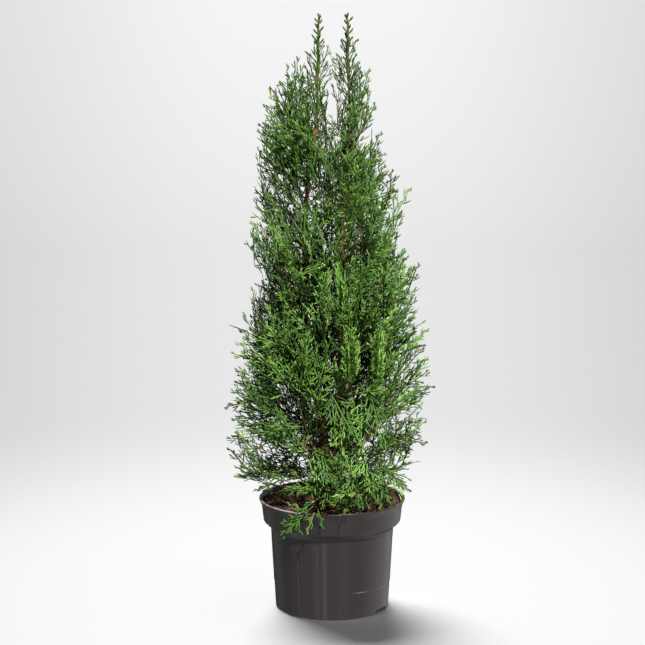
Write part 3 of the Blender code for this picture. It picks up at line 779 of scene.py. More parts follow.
def limb_surface(rows, around, relief, seed, waves=14):
    """A closed tube round a path of x, y, z, radius. The radius is raised and lowered by a sum of sines of
    the angle round the limb and the way along it, with whole numbers of waves round and long waves along."""
    rng = np.random.default_rng(seed)
    path, radius = rows[:, :3], rows[:, 3]
    along = np.concatenate(([0.0], np.cumsum(np.linalg.norm(np.diff(path, axis=0), axis=1))))
    angle = np.arange(around) * 2 * math.pi / around
    turns = rng.integers(2, 8, waves)
    number = rng.uniform(20, 190, waves)
    phase = rng.uniform(0, 2 * math.pi, waves)
    height = np.sin(
        turns * angle[None, :, None] + number * along[:, None, None] + phase).sum(-1) / math.sqrt(waves)
    rings = rings_round(path, radius[:, None] * (1 + relief * height), around)
    return closed_tubes(rings[None], path[None, :1], path[None, -1:])


def join(surfaces):
    """Several lists of points and faces as one, with the face numbers shifted."""
    points, faces, begun = [], [], 0
    for some_points, some_faces in surfaces:
        points.append(some_points)
        faces += [group + begun for group in some_faces]
        begun += len(some_points)
    return np.vstack(points), faces


def bark_finish(name, dark, middle, light):
    """Bark in strips: noise drawn out along the height picks the colour, and finer noise lifts the strips'
    edges."""
    finish = Finish(name, middle, 0.85)
    strips = finish.noise(150.0, 6.0, (1.0, 1.0, 0.16))
    finish.link(finish.blend(strips, 0.34, 0.66, [dark, middle, light]), "Base Color")
    finish.link(finish.remap(strips, 0.0, 1.0, 0.70, 0.95), "Roughness")
    finish.bump(finish.noise(420.0, 5.0, (1.0, 1.0, 0.2)), 0.0006)
    return finish.material


TRUNK_THINNER = 0.0004
FORK_OVERLAP = 0.012
LEADER_THINNING = ((0.66, 0.78), (1.0, 0.72))
trunk = smooth(TRUNK, LIMB_STEP / 2)
leaders = (smooth(LEADER_LEFT, LIMB_STEP), smooth(LEADER_RIGHT, LIMB_STEP))
trunk_rows = smooth(TRUNK, 0.0025)
trunk_rows[:, 3] -= TRUNK_THINNER
main_limbs = [limb_surface(trunk_rows, 40, 0.045, 1)]
for number, rows in enumerate((LEADER_LEFT, LEADER_RIGHT)):
    fork = np.array(rows[0]) - (0.0, 0.0, FORK_OVERLAP, 0.0)
    leader_rows = smooth((fork, *rows), 0.004)
    leader_rows[:, 3] *= np.interp(leader_rows[:, 2], *LEADER_THINNING)
    main_limbs.append(limb_surface(leader_rows, 20, 0.06, 2 + number))
wood = bark_finish("bark_red_brown", (0.045, 0.019, 0.007), (0.190, 0.080, 0.025), (0.380, 0.190, 0.064))
limb_points, limb_faces = join(main_limbs)
limb_nodes = ["trunk", "leader_left", "leader_right"]
add_piece("trunk_and_leaders", limb_points, limb_faces, wood, limb_nodes)
print("trunk and leaders:", len(limb_points), "points")

# %% [markdown]
# ## Where the crown ends
#
# Read from the photo, the crown's outline is a list of heights with the reach to the left and to the
# right of the axis. Between left and right the reach changes with the cosine of the angle round the
# plant, so the crown is full from all sides. The rules below decide what grows where: inside that
# outline, clear of the pot and the limbs, and nearer to the mass's own stem than to any other's.

# %% Crown outline, as in the source
CROWN = (
    (0.110, 0.150, 0.140),
    (0.165, 0.148, 0.130),
    (0.200, 0.150, 0.124),
    (0.240, 0.158, 0.138),
    (0.300, 0.158, 0.148),
    (0.360, 0.151, 0.154),
    (0.440, 0.142, 0.140),
    (0.500, 0.127, 0.134),
    (0.535, 0.124, 0.139),
    (0.570, 0.129, 0.104),
    (0.640, 0.123, 0.119),
    (0.690, 0.114, 0.084),
    (0.740, 0.120, 0.068),
    (0.800, 0.102, 0.063),
    (0.835, 0.072, 0.050),
    (0.865, 0.034, 0.034),
    (0.913, 0.030, 0.030),
)
SPACE_MARGIN = 0.0007
LIMB_MARGIN = 0.0010
POT_MARGIN = 0.0030


def crown_reach(points):
    """How far from the axis the crown reaches at each point's height and angle."""
    height, left, right = np.array(CROWN).T
    to_left = np.interp(points[:, 2], height, left)
    to_right = np.interp(points[:, 2], height, right)
    across = points[:, 0] / np.maximum(np.hypot(points[:, 0], points[:, 1]), 1e-6)
    return (to_left + to_right) / 2 + across * (to_right - to_left) / 2


def reach_at(point):
    """The crown's reach at one point's height and angle."""
    return crown_reach(point[None])[0]


def to_limbs(points, limbs):
    """For each point, how far it is outside the nearest limb's surface."""
    nearest = np.full(len(points), 1.0)
    for limb in limbs:
        start, end = limb[:-1, :3], limb[1:, :3]
        run = end - start
        t = np.einsum("psk,sk->ps", points[:, None] - start, run) / (run**2).sum(1)
        t = np.clip(t, 0, 1)
        foot = start + t[..., None] * run
        radius = limb[:-1, 3] + t * (limb[1:, 3] - limb[:-1, 3])
        away = np.linalg.norm(points[:, None] - foot, axis=2) - radius
        nearest = np.minimum(nearest, away.min(1))
    return nearest


def in_own_space(points, own, others):
    """True where every point is clear of the planes halfway to the other masses' stems."""
    to_own = ((points[:, None] - own) ** 2).sum(2)
    site = own[to_own.argmin(1)]
    to_others = ((points[:, None] - others) ** 2).sum(2)
    apart = np.linalg.norm(others - site[:, None], axis=2)
    beyond = (to_others - to_own.min(1)[:, None]) / (2 * apart)
    return bool((beyond > SPACE_MARGIN).all())


def free_of_pot(points):
    """For each point, whether it is above the rim, outside the pot, or inside it above the soil."""
    radius = np.hypot(points[:, 0], points[:, 1])
    above = points[:, 2] > POT_HEIGHT + POT_MARGIN
    outside = radius > RIM_RADIUS + POT_MARGIN
    inside = (radius < BAND_FOOT_RADIUS - 2 * POT_MARGIN) & (points[:, 2] > SOIL_TOP + 2 * POT_MARGIN)
    return above | outside | inside


# %% [markdown]
# ## The boughs
#
# Boughs leave the trunk and the leaders tier by tier: a tier gives the height, the number of boughs and the
# angle of the first, how far they reach and rise, and the length and lean of the stem that goes on from
# each. The two highest tiers have stems alone. One more bough goes low over the rim at the front left, where
# the photo shows a spray hanging down.

# %% Tiers, as in the source
TIERS = (
    ("skirt", 0.1880, 4, 200.0, 0.054, 0.004, 0.050, 78.0),
    ("lower", 0.2440, 4, 245.0, 0.058, 0.036, 0.076, 30.0),
    ("middle", 0.3300, 4, 200.0, 0.058, 0.046, 0.080, 20.0),
    ("upper", 0.4300, 4, 245.0, 0.048, 0.046, 0.080, 16.0),
    ("shoulder", 0.5350, 3, 185.0, 0.040, 0.046, 0.084, 12.0),
    ("neck", 0.6250, 3, 245.0, 0.000, 0.000, 0.094, 14.0),
    ("crest", 0.7150, 4, 215.0, 0.000, 0.000, 0.070, 14.0),
)
BOUGH_RADIUS = 0.0032
BOUGH_TAPER = 0.62
BOUGH_RINGS = 5
BOUGH_STAGGER = 0.004
BOUGH_KNEE = 0.62
LEAVING_GAP = CLEAR * 1.3
STEM_RINGS = 5
STEM_KNEE = 0.50
STEM_KNEE_ON_LEADER = 0.24
TIP_STEM_TOP = TREE_TOP - 0.020
# The bough over the rim: the height at which it leaves, how far out and up its knee is, the bearing, reach
# and height of its tip and of its stem's end, and how far on its stem's knee is
RIM_START = 0.1800
RIM_KNEE = (0.040, 0.004)
RIM_TIP = (254.0, 0.110, 0.1900)
RIM_END = (243.0, 0.1330, 0.148)
RIM_STEM_KNEE = 0.022


def leave(limb, height, out):
    """Where a bough leaves a limb at a height, clear of its surface, and the direction square to it."""
    middle = np.array([np.interp(height, limb[:, 2], limb[:, k]) for k in range(4)])
    low = min(int(np.searchsorted(limb[:, 2], height)), len(limb) - 1)
    tangent = unit(limb[low, :3] - limb[low - 1, :3])
    square = unit(out - tangent * (tangent @ out))
    return middle[:3] + square * (middle[3] + LEAVING_GAP), square


def place_tiers(leaders, trunk):
    """Works out each bough and the stem of the mass on it: name, bough path or None, stem path."""
    placed = []
    for tier, attach, number, first, reach, rise, stem_length, lean in TIERS:
        for k in range(number):
            angle = first + 360 * k / number
            out = outward(angle)
            height = attach + BOUGH_STAGGER * (k % 3)
            if height < FORK_HEIGHT:
                limb = trunk
            else:
                limb = leaders[0] if out[0] < 0.2 * math.cos(k) else leaders[1]
            start, square = leave(limb, height, out)
            if reach:
                knee = start + square * reach * BOUGH_KNEE
                tip = start + out * reach + UP * rise
                bough = bezier(start, knee, tip, BOUGH_RINGS)
                heading = unit(tip - knee)
                root = tip + heading * CLEAR
            else:
                bough = None
                heading = square
                root = start
            tilt = math.radians(lean)
            tip_heading = out * math.sin(tilt) + UP * math.cos(tilt)
            share = STEM_KNEE if reach else STEM_KNEE_ON_LEADER
            stem_knee = root + heading * stem_length * share
            stem = bezier(root, stem_knee, stem_knee + tip_heading * stem_length * (1 - share), STEM_RINGS)
            placed.append((f"{tier}_{k + 1}", bough, stem))
    return placed


def special_masses(leaders, trunk):
    """The two leader tips, and the low bough whose spray hangs over the pot's rim at the front left."""
    placed = []
    for name, leader in zip(("tip_left", "tip_right"), leaders):
        heading = unit(leader[-1, :3] - leader[-2, :3])
        root = leader[-1, :3] + heading * CLEAR
        end = np.array((root[0], root[1], TIP_STEM_TOP))
        placed.append((name, None, bezier(root, (root + end) / 2, end, STEM_RINGS)))
    tip, end = (outward(bearing) * reach + UP * height for bearing, reach, height in (RIM_TIP, RIM_END))
    start, square = leave(trunk, RIM_START, outward(RIM_TIP[0]))
    knee = start + square * RIM_KNEE[0] + UP * RIM_KNEE[1]
    bough = bezier(start, knee, tip, BOUGH_RINGS)
    heading = unit(tip - knee)
    root = tip + heading * CLEAR
    stem = bezier(root, root + heading * RIM_STEM_KNEE, end, STEM_RINGS)
    placed.append(("over_rim", bough, stem))
    return placed


masses = place_tiers(leaders, trunk) + special_masses(leaders, trunk)
print("masses:", len(masses))

# %% [markdown]
# ## The rule of growth
#
# A mass grows like this. Twigs leave its stem inward and to both sides and curve upward. A flat spray
# ends each twig, another flanks it, and a last one ends the stem. Each spray is tried with several
# rolls and sways and then shorter, until it fits the space and keeps a distance from its neighbours.
# The draws come from a seed, so the result is always the same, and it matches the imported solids.

# %% Sprays, as in the source
SEED = 300
TWIGS = 3
TWIG_SHARE = 0.50
TWIG_ANGLE = 52.0
TWIG_BEARINGS = (180.0, 80.0, -80.0)
TWIG_RADIUS = 0.0011
TWIG_RINGS = 3
TWIG_START = 0.14
TWIG_SPAN = 0.62
TWIG_RISE = 0.45
TWIG_TURNS = 6
SPRAY_LENGTH = 0.100
SPRAY_WIDTH = 0.54
SPRAY_THICKNESS = 0.0011
SPRAY_ANGLE = 34.0
SPRAY_SHRINKS = (1.0, 0.90, 0.81, 0.73, 0.64, 0.54)
SPRAY_TRIES = 20
SPRAY_SWAY = 0.45
SPRAY_ROLL = 60.0
SPRAY_APART = 0.0045
SPRAY_ROOT_SHARE = 0.22
SIZE_ON_TWIG = (0.9, 1.1)
SIZE_BESIDE_TWIG = (0.7, 0.85)
SIZE_ON_STEM = (1.0, 1.15)
SIZE_BESIDE_STEM = (0.75, 0.9)
RIB_WIDTH = 0.0008
TIP_TWIGS = 3
TIP_SIZE = 0.22
TIP_SHARE = 0.16
RIM_SIZE = 0.58
RIM_TWIGS = 1


def toothed_outline(length, teeth):
    """A flat spray's outline, root to tip and back: broad fingers that point forward from the rib."""
    width = length * SPRAY_WIDTH / 2
    if teeth == 2:
        fingers = ((0.46, 0.96, 0.41, 0.60), (0.84, 0.80, 0.77, 0.42))
    else:
        fingers = ((0.62, 1.00, 0.55, 0.52),)
    sides = []
    for side, shift in ((1, 0.0), (-1, 0.05)):
        points = [(0.0, side * RIB_WIDTH)]
        for tip_along, tip_out, notch_along, notch_out in fingers:
            points.append(((tip_along + shift) * length, side * tip_out * width))
            points.append(((notch_along + shift) * length, side * notch_out * width))
        sides.append(points)
    return np.array(sides[1] + [(length, 0.0)] + sides[0][::-1])


def spray_points(spray):
    """The spray's outline in the plant's frame, with points between its corners and across it."""
    root, heading, across, length, teeth = spray
    flat = toothed_outline(length, teeth)
    ring = np.vstack((flat, flat[:1]))
    t = np.linspace(0, 1, 5)[:-1, None, None]
    edges = (ring[:-1] * (1 - t) + ring[1:] * t).reshape(-1, 2)
    middle = np.array((0.5 * length, 0.0))
    inside = (flat * t + middle * (1 - t)).reshape(-1, 2)
    flat = np.vstack((edges, inside))
    return root + flat[:, :1] * heading + flat[:, 1:] * across


def make_spray(root, heading, roll, length, teeth):
    """A spray faces outward from the plant's axis, then is rolled about its own heading."""
    around = np.cross(UP, root * (1, 1, 0) + 1e-4)
    across = unit(around - heading * (around @ heading))
    return (root, heading, turned(across, heading, roll), length, teeth)


def grow(stem, seed, fits_twig, fits_spray, size=1.0, twigs=TWIGS, share=TWIG_SHARE):
    """The rule of growth: twigs leave the stem inward and to both sides, sprays end and flank them."""
    rng = np.random.default_rng(seed)
    grown, sprays, taken = [], [], []

    def add_spray(root, heading, length, teeth):
        tries = rng.uniform(-1, 1, (SPRAY_TRIES, 4))
        for shrink in SPRAY_SHRINKS:
            for roll, *sway in tries:
                ahead = unit(heading + SPRAY_SWAY * np.array(sway))
                spray = make_spray(root, ahead, SPRAY_ROLL * roll, length * shrink, teeth)
                points = spray_points(spray)
                far = points[np.linalg.norm(points - root, axis=1) > SPRAY_ROOT_SHARE * length]
                apart = [np.linalg.norm(far[:, None] - old, axis=2).min() for old in taken]
                if min(apart, default=1.0) > SPRAY_APART * size and fits_spray(points):
                    sprays.append(spray)
                    taken.append(points)
                    return

    reach = np.linalg.norm(stem[-1] - stem[0])
    away = unit(stem[-1] * (1, 1, 0) + 1e-5)
    for k in range(twigs):
        t = TWIG_START + TWIG_SPAN * (k + rng.uniform(0.1, 0.6)) / twigs
        place = t * (len(stem) - 1)
        low = int(place)
        root = stem[low] + (place - low) * (stem[low + 1] - stem[low])
        tangent = unit(stem[low + 1] - stem[low])
        for turn in range(TWIG_TURNS):
            bearing = TWIG_BEARINGS[k % 3] + 60 * turn + rng.uniform(-20, 20)
            side = turned(away, UP, bearing)
            side = unit(side - tangent * (side @ tangent))
            angle = math.radians(TWIG_ANGLE * rng.uniform(0.8, 1.2))
            heading = tangent * math.cos(angle) + side * math.sin(angle)
            length = reach * share * (1.1 - 0.4 * t) * rng.uniform(0.85, 1.15)
            knee = root + heading * length * 0.5
            end = knee + unit(heading + TWIG_RISE * UP) * length * 0.5
            if fits_twig(bezier(root, knee, end, 9)[2:]):
                break
        else:
            continue
        grown.append(bezier(root, knee, end, 5))
        twig = bezier(root, knee, end, TWIG_RINGS)
        ahead = unit(end - knee)
        add_spray(end - ahead * 0.004, ahead, SPRAY_LENGTH * size * rng.uniform(*SIZE_ON_TWIG), 2)
        if k != 1:
            flank = turned(ahead, unit(np.cross(ahead, UP)), SPRAY_ANGLE * (-1) ** k)
            add_spray(twig[1], flank, SPRAY_LENGTH * size * rng.uniform(*SIZE_BESIDE_TWIG), 1)
    ahead = unit(stem[-1] - stem[-2])
    add_spray(stem[-1] - ahead * 0.005, ahead, SPRAY_LENGTH * size * rng.uniform(*SIZE_ON_STEM), 2)
    for place, side in ((2, 1), (1, -1)):
        lean = unit(ahead + 0.9 * turned(away, UP, side * rng.uniform(10, 90)))
        add_spray(stem[place], lean, SPRAY_LENGTH * size * rng.uniform(*SIZE_BESIDE_STEM), 1)
    return grown, sprays


SITES_BEYOND = (0.03, 0.06)


def sites_of(stem):
    """The points that stand for a mass when the crown is shared out: along its stem and past its tip."""
    ahead = unit(stem[-1] - stem[-2])
    return np.vstack((stem[1:], *(stem[-1] + ahead * beyond for beyond in SITES_BEYOND)))


# %% Grow the masses
limbs = [trunk, *leaders]
for _, bough, _ in masses:
    if bough is not None:
        limbs.append(with_radii(bough, BOUGH_RADIUS, BOUGH_RADIUS * BOUGH_TAPER))
sites = [sites_of(stem) for _, _, stem in masses]
twigs_of, sprays_of = [], []
for number, (name, bough, stem) in enumerate(masses):
    own = sites[number]
    others = np.vstack(sites[:number] + sites[number + 1:])

    def fits(points, thickness, own=own, others=others):
        return (
            (np.hypot(points[:, 0], points[:, 1]) < crown_reach(points)).all()
            and (points[:, 2] < TREE_TOP).all()
            and free_of_pot(points).all()
            and (to_limbs(points, limbs) > thickness + LIMB_MARGIN).all()
            and in_own_space(points, own, others)
        )

    size, number_of_twigs, share = 1.0, TWIGS, TWIG_SHARE
    if name.startswith("tip"):
        size, number_of_twigs, share = TIP_SIZE, TIP_TWIGS, TIP_SHARE
    if name == "over_rim":
        size, number_of_twigs = RIM_SIZE, RIM_TWIGS
    twigs, sprays = grow(
        stem, SEED + number,
        lambda points: fits(points, TWIG_RADIUS),
        lambda points: fits(points[6:], SPRAY_THICKNESS / 2),
        size, number_of_twigs, share,
    )
    twigs_of.append(twigs)
    sprays_of.append(sprays)
print("twigs:", sum(map(len, twigs_of)), "sprays:", sum(map(len, sprays_of)))

# %% [markdown]
# ## Finer twigs
#
# The solids stop at a few large sprays for each mass. The real crown holds over a thousand. More sprays
# are dealt out by their tips: tips are scattered in the crown, denser towards its surface, never closer
# than a distance that grows inward and where the photo shows sky. A spray hangs below its tip and leans
# outward, more so low on the plant. Its root is then joined to the nearest wood of the same mass by a
# curved twig, and that twig becomes wood that others can join. Fans and gaps that stand out in the photo
# are given by their places. Where a height is said to be as seen, it is that of the point in the plant's
# middle plane that the camera sees behind or before the piece.

# %% Fans, openings and gaps
FINE_SEED = 41
LEAN_HEIGHTS = (0.14, 0.20, 0.28, 0.36, 0.46, 0.60, 0.75, 0.88)
LEANS = (96.0, 84.0, 70.0, 56.0, 44.0, 36.0, 34.0, 22.0)
# Openings in the crown, where fewer tips are scattered: x, height as seen, half width, half height
OPENINGS = (
    (0.009, 0.372, 0.014, 0.044),
    (0.045, 0.386, 0.012, 0.034),
    (-0.075, 0.355, 0.048, 0.022),
    (-0.100, 0.310, 0.050, 0.018),
    (-0.100, 0.255, 0.050, 0.024),
    (0.100, 0.310, 0.034, 0.032),
    (0.085, 0.250, 0.038, 0.026),
    (0.118, 0.375, 0.020, 0.034),
    (-0.048, 0.690, 0.012, 0.022),
    (0.010, 0.735, 0.009, 0.016),
)
# Fans, roughly from the front to the edges: x, y, z of the root and of the tip in millimetres, and the roll
SHOWN_FANS = (
    (64, -85, 354, 67, -125, 458, 55),
    (28, -90, 358, 23, -128, 459, -60),
    (20, -85, 448, 14, -118, 552, 62),
    (-35, -90, 349, -48, -122, 446, -40),
    (88, -60, 421, 97, -84, 508, 40),
    (-21, -85, 448, -17, -115, 545, 70),
    (-69, -80, 417, -80, -100, 505, -50),
    (14, -60, 268, 4, -100, 210, 0),
    (-2, -58, 238, 12, -92, 186, 5),
    (16, -45, 330, 8, -80, 395, 30),
    (-12, -50, 300, -16, -88, 352, -30),
    (-30, -92, 267, 13, -118, 258, 0),
    (-30, -92, 267, 6, -117, 215, 0),
    (-30, -92, 265, -24, -118, 206, 0),
    (-3, -100, 358, 36, -130, 290, 5),
    (-3, -100, 352, 4, -130, 296, -5),
    (52, -95, 366, 76, -122, 276, 5),
    (43, -95, 349, 49, -126, 273, 0),
    (58, -90, 272, 3, -119, 256, 0),
    (58, -90, 268, 29, -117, 234, 0),
    (35, -92, 258, 29, -114, 205, 0),
    (48, -88, 248, 61, -110, 207, 0),
    (-45, -20, 190, -88, -35, 174, 0),
    (32, -95, 319, -2, -128, 282, 10),
    (-18, -95, 270, -10, -122, 223, 0),
    (65, -90, 340, 35, -125, 287, -15),
    (62, -85, 314, 103, -100, 343, 10),
    (30, -85, 262, 16, -106, 203, 5),
    (51, -80, 252, 58, -102, 195, -10),
    (78, -60, 241, 100, -78, 192, 15),
    (-44, -85, 280, -76, -105, 246, 0),
    (87, -60, 265, 116, -74, 245, 0),
    (9, -80, 224, 29, -100, 183, 0),
    (63, -65, 217, 87, -80, 180, 0),
    (86, -30, 219, 107, -47, 188, 10),
    (37, -72, 213, 48, -97, 180, -10),
    (12, -80, 205, 7, -98, 178, 15),
    (-9, -78, 202, -16, -96, 177, 0),
    (22, -78, 202, 20, -96, 177, 10),
    (45, -74, 204, 55, -93, 177, -10),
    (71, -62, 207, 83, -80, 177, 10),
    (89, -45, 212, 105, -61, 179, 0),
    (6, -82, 210, 1, -100, 180, -10),
    (30, -72, 205, 18, -104, 177, 0),
    (40, -70, 203, 37, -102, 177, 5),
    (52, -68, 206, 62, -95, 177, -5),
    (64, -60, 203, 76, -86, 177, 8),
    (79, -50, 205, 94, -70, 177, -8),
    (12, -74, 203, -4, -104, 177, 5),
    (26, -76, 200, 6, -105, 177, -5),
    (-48, 0, 764, -71, -10, 831, 80),
    (-59, 0, 752, -94, -5, 805, 95),
    (-66, -10, 732, -102, -15, 778, 85),
    (-71, -5, 705, -110, 0, 749, 95),
    (-32, -5, 780, -39, -15, 834, 75),
    (-76, 5, 674, -112, 10, 706, 90),
    (43, 0, 782, 55, -8, 830, 80),
    (47, -10, 741, 66, -10, 780, 100),
    (54, 0, 689, 73, -5, 735, 85),
    (90, -10, 597, 117, -15, 652, 90),
    (84, -15, 634, 90, -30, 683, 75),
    (110, -20, 482, 131, -30, 540, 85),
    (-41, -30, 199, -94, -48, 187, 0),
    (-78, -12, 213, -133, -12, 213, 80),
    (-124, -12, 213, -159, -12, 252, 85),
    (-90, -20, 210, -150, -22, 204, 70),
    (-66, -30, 212, -118, -42, 192, 60),
    (-115, 0, 322, -164, 0, 314, 80),
    (-118, -5, 268, -163, -5, 263, 75),
    (-110, 0, 385, -156, 0, 397, 85),
    (108, 0, 325, 156, 0, 348, 85),
    (112, 0, 345, 149, 0, 371, 80),
    (110, -5, 400, 146, -5, 436, 85),
    (108, 0, 262, 148, 0, 255, 80),
    (-108, 0, 252, -150, 5, 241, 70),
    (-99, 0, 214, -146, 0, 201, 60),
)
# Gaps before inner wood, before the boldest fans and between the leaders: x, height as seen, half width, half
# height, and the y before which nothing is scattered
WINDOWS = (
    (-0.035, 0.290, 0.009, 0.040, -0.045),
    (0.045, 0.308, 0.008, 0.016, -0.045),
    (-0.008, 0.322, 0.012, 0.011, -0.045),
    (-0.003, 0.262, 0.012, 0.012, -0.045),
    (0.046, 0.386, 0.009, 0.032, -0.045),
    (0.003, 0.372, 0.007, 0.040, -0.045),
    (0.081, 0.402, 0.007, 0.014, -0.045),
    (-0.011, 0.221, 0.026, 0.032, -0.104),
    (0.014, 0.300, 0.026, 0.026, -0.104),
    (0.060, 0.298, 0.026, 0.040, -0.104),
    (0.032, 0.236, 0.026, 0.018, -0.104),
    (0.044, 0.205, 0.026, 0.018, -0.104),
    (-0.001, 0.800, 0.009, 0.016, 0.100),
    (0.002, 0.762, 0.009, 0.020, 0.100),
    (0.009, 0.722, 0.007, 0.012, 0.100),
)
# Views that stay bare at the low left, of the soil and beside the pot: left, right, low, high, as seen
SOIL_VIEW = (-0.108, -0.022, 0.120, 0.190)
SKIRT_VIEW = (-0.170, -0.072, 0.120, 0.196)
CAMERA_SLOPE = math.tan(CAMERA_DOWN)


# %% Where sprays may show
def seen(points):
    """Each point's x and the height at which the camera sees it against the plant's middle plane."""
    return points[:, 0], points[:, 2] + CAMERA_SLOPE * points[:, 1]


def hides(points, view):
    """Whether any point stands in a view that stays bare."""
    x, height = seen(points)
    left, right, low, high = view
    return bool(((x > left) & (x < right) & (height > low) & (height < high)).any())


def off_middle(points, x, z, half_width, half_height):
    """The squared distance of each seen point from an ellipse's middle, one at its edge."""
    x_seen, height = seen(points)
    return ((x_seen - x) / half_width) ** 2 + ((height - z) / half_height) ** 2


def before_window(points):
    """Whether any point stands in front of a gap through which inner wood or a bold fan shows."""
    for *ellipse, depth in WINDOWS:
        if ((off_middle(points, *ellipse) < 1) & (points[:, 1] < depth)).any():
            return True
    return False


def openness(points):
    """One in an opening's middle, falling to nothing a little outside its edge, for each point."""
    most = np.zeros(len(points))
    for ellipse in OPENINGS:
        most = np.maximum(most, np.clip(1.4 - off_middle(points, *ellipse), 0, 1))
    return most


# %% Scatter the spray tips
TIP_TRIES = 16000
TIP_HEIGHTS = (0.125, 0.866)
TIP_SHARES = (0.05, 1.0)
SHARE_POWER = 0.55
TIP_INSET = 0.002
SLIM_LEFT = ((0.46, 0.50, 0.55, 0.58), (1.0, 0.92, 0.92, 1.0))
SLIM_RIGHT = ((0.60, 0.66, 0.74, 0.80), (1.0, 0.93, 0.93, 0.86))
TIP_SPACING = 0.0168
WIDER_INSIDE = 0.55
WIDER_IN_OPENING = 0.9
WIDER_AT_EDGE = 0.10
EDGE_START = 0.72
EDGE_SPAN = 0.25
# The crown's back, where it closes the view between the front's sprays: middle x, half width, low, high
BACK_VIEW = (0.01, 0.075, 0.17, 0.40)
CLOSER_BEHIND = 0.82
NEARLY_SHUT = 0.2
SPACING_HEIGHTS = (0.15, 0.22, 0.30, 0.50, 0.58, 0.66, 0.70, 0.745, 0.79, 0.86)
SPACINGS = (1.2, 1.06, 0.98, 1.01, 1.09, 1.06, 0.92, 0.72, 1.12, 1.45)


def scatter_tips(rng, tries):
    """Tips with the share of the crown's reach at which each lies. A draw stands if no earlier one is too
    near."""
    height = rng.uniform(*TIP_HEIGHTS, tries)
    angle = rng.uniform(0, 2 * math.pi, tries)
    share = rng.uniform(*TIP_SHARES, tries) ** SHARE_POWER
    flat = np.stack((np.cos(angle), np.sin(angle)), axis=-1)
    points = np.column_stack((flat, height))
    to_left = np.clip(-flat[:, 0], 0, 1) * (np.interp(height, *SLIM_LEFT) - 1)
    to_right = np.clip(flat[:, 0], 0, 1) * (np.interp(height, *SLIM_RIGHT) - 1)
    reach = (crown_reach(points) - TIP_INSET) * (1 + to_left + to_right)
    points[:, :2] = flat * (share * reach)[:, None]
    gap = openness(points)
    spacing = TIP_SPACING * (1.0 + WIDER_INSIDE * (1 - share)) * (1 + WIDER_IN_OPENING * gap)
    spacing *= 1 + WIDER_AT_EDGE * np.clip((np.abs(points[:, 0]) / reach - EDGE_START) / EDGE_SPAN, 0, 1)
    middle, half_width, low, high = BACK_VIEW
    behind = (points[:, 1] > 0.0) & (np.abs(points[:, 0] - middle) < half_width)
    behind &= (height > low) & (height < high) & (gap < NEARLY_SHUT)
    spacing[behind] *= CLOSER_BEHIND
    spacing *= np.interp(height, SPACING_HEIGHTS, SPACINGS)
    kept = []
    standing = shown_tips
    for k in range(tries):
        if ((standing - points[k]) ** 2).sum(1).min() > spacing[k] ** 2:
            kept.append(k)
            standing = np.vstack((standing, points[k]))
    return points[kept], share[kept]


fans = np.array(SHOWN_FANS)
shown_roots, shown_tips, shown_rolls = fans[:, :3] / 1000, fans[:, 3:6] / 1000, fans[:, 6]
fine_rng = np.random.default_rng(FINE_SEED)
tips, tip_shares = scatter_tips(fine_rng, TIP_TRIES)
print("scattered tips:", len(tips))

# %% How each fine spray stands
FINE_LENGTHS = (0.046, 0.082)
UPRIGHT_SHARES = ((0.20, 0.36), (0.45, 0.80))
INNER_LEAN = 0.35
LEAN_SPREAD = 13
BEARING_SPREAD = 0.42
UPRIGHT_ROLLS = (90, 30)
FLAT_ROLLS = (0, 40)
lean = np.interp(tips[:, 2], LEAN_HEIGHTS, LEANS) * (INNER_LEAN + (1 - INNER_LEAN) * tip_shares)
lean = np.radians(lean + fine_rng.normal(0, LEAN_SPREAD, len(tips)))
bearing = np.arctan2(tips[:, 1], tips[:, 0]) + fine_rng.normal(0, BEARING_SPREAD, len(tips))
headings = np.stack((np.sin(lean) * np.cos(bearing), np.sin(lean) * np.sin(bearing), np.cos(lean)), axis=-1)
lengths = fine_rng.uniform(*FINE_LENGTHS, len(tips))
upright = fine_rng.uniform(0, 1, len(tips)) < np.interp(tips[:, 2], *UPRIGHT_SHARES)
rolls = np.where(
    upright, fine_rng.normal(*UPRIGHT_ROLLS, len(tips)), fine_rng.normal(*FLAT_ROLLS, len(tips)))
tips = np.vstack((shown_tips, tips))
tip_shares = np.concatenate((np.ones(len(SHOWN_FANS)), tip_shares))
headings = np.vstack((unit(shown_tips - shown_roots), headings))
lengths = np.concatenate((np.linalg.norm(shown_tips - shown_roots, axis=1), lengths))
rolls = np.concatenate((shown_rolls, rolls))

# %% Join each fine spray to the wood
CLOSE, BOLD, OPEN = 2, 3, 4
SHOWN_BEYOND = 0.014
DRAWN_BEYOND = 0.006
SHORTER = 0.75
LONGEST_TWIG = 0.085
BACKWARD = -0.1
SHORT_TWIG = 0.012
TWIG_KNEE = 0.45
TOUCHING = 0.004
middles = tips - headings * (lengths / 2)[:, None]
site_mass = np.repeat(np.arange(len(sites)), [len(group) for group in sites])
owner = site_mass[((middles[:, None] - np.vstack(sites)) ** 2).sum(2).argmin(1)]
wood_of = []
for (_, bough, stem), twigs in zip(masses, twigs_of):
    lines = [bezier(stem[0], stem[2], stem[-1], 14), *twigs]
    if bough is not None:
        lines.append(bough[2:])
    wood_of.append(np.vstack(lines))


def stands_free(line, shown):
    """Whether a spray's line keeps to the crown and off the pot. One drawn by chance keeps off gaps too."""
    beyond = SHOWN_BEYOND if shown else DRAWN_BEYOND
    inside = np.hypot(line[:, 0], line[:, 1]) < crown_reach(line) + beyond
    in_gap = before_window(line) or hides(line, SOIL_VIEW) or hides(line, SKIRT_VIEW)
    return inside.all() and free_of_pot(line).all() and (shown or not in_gap)


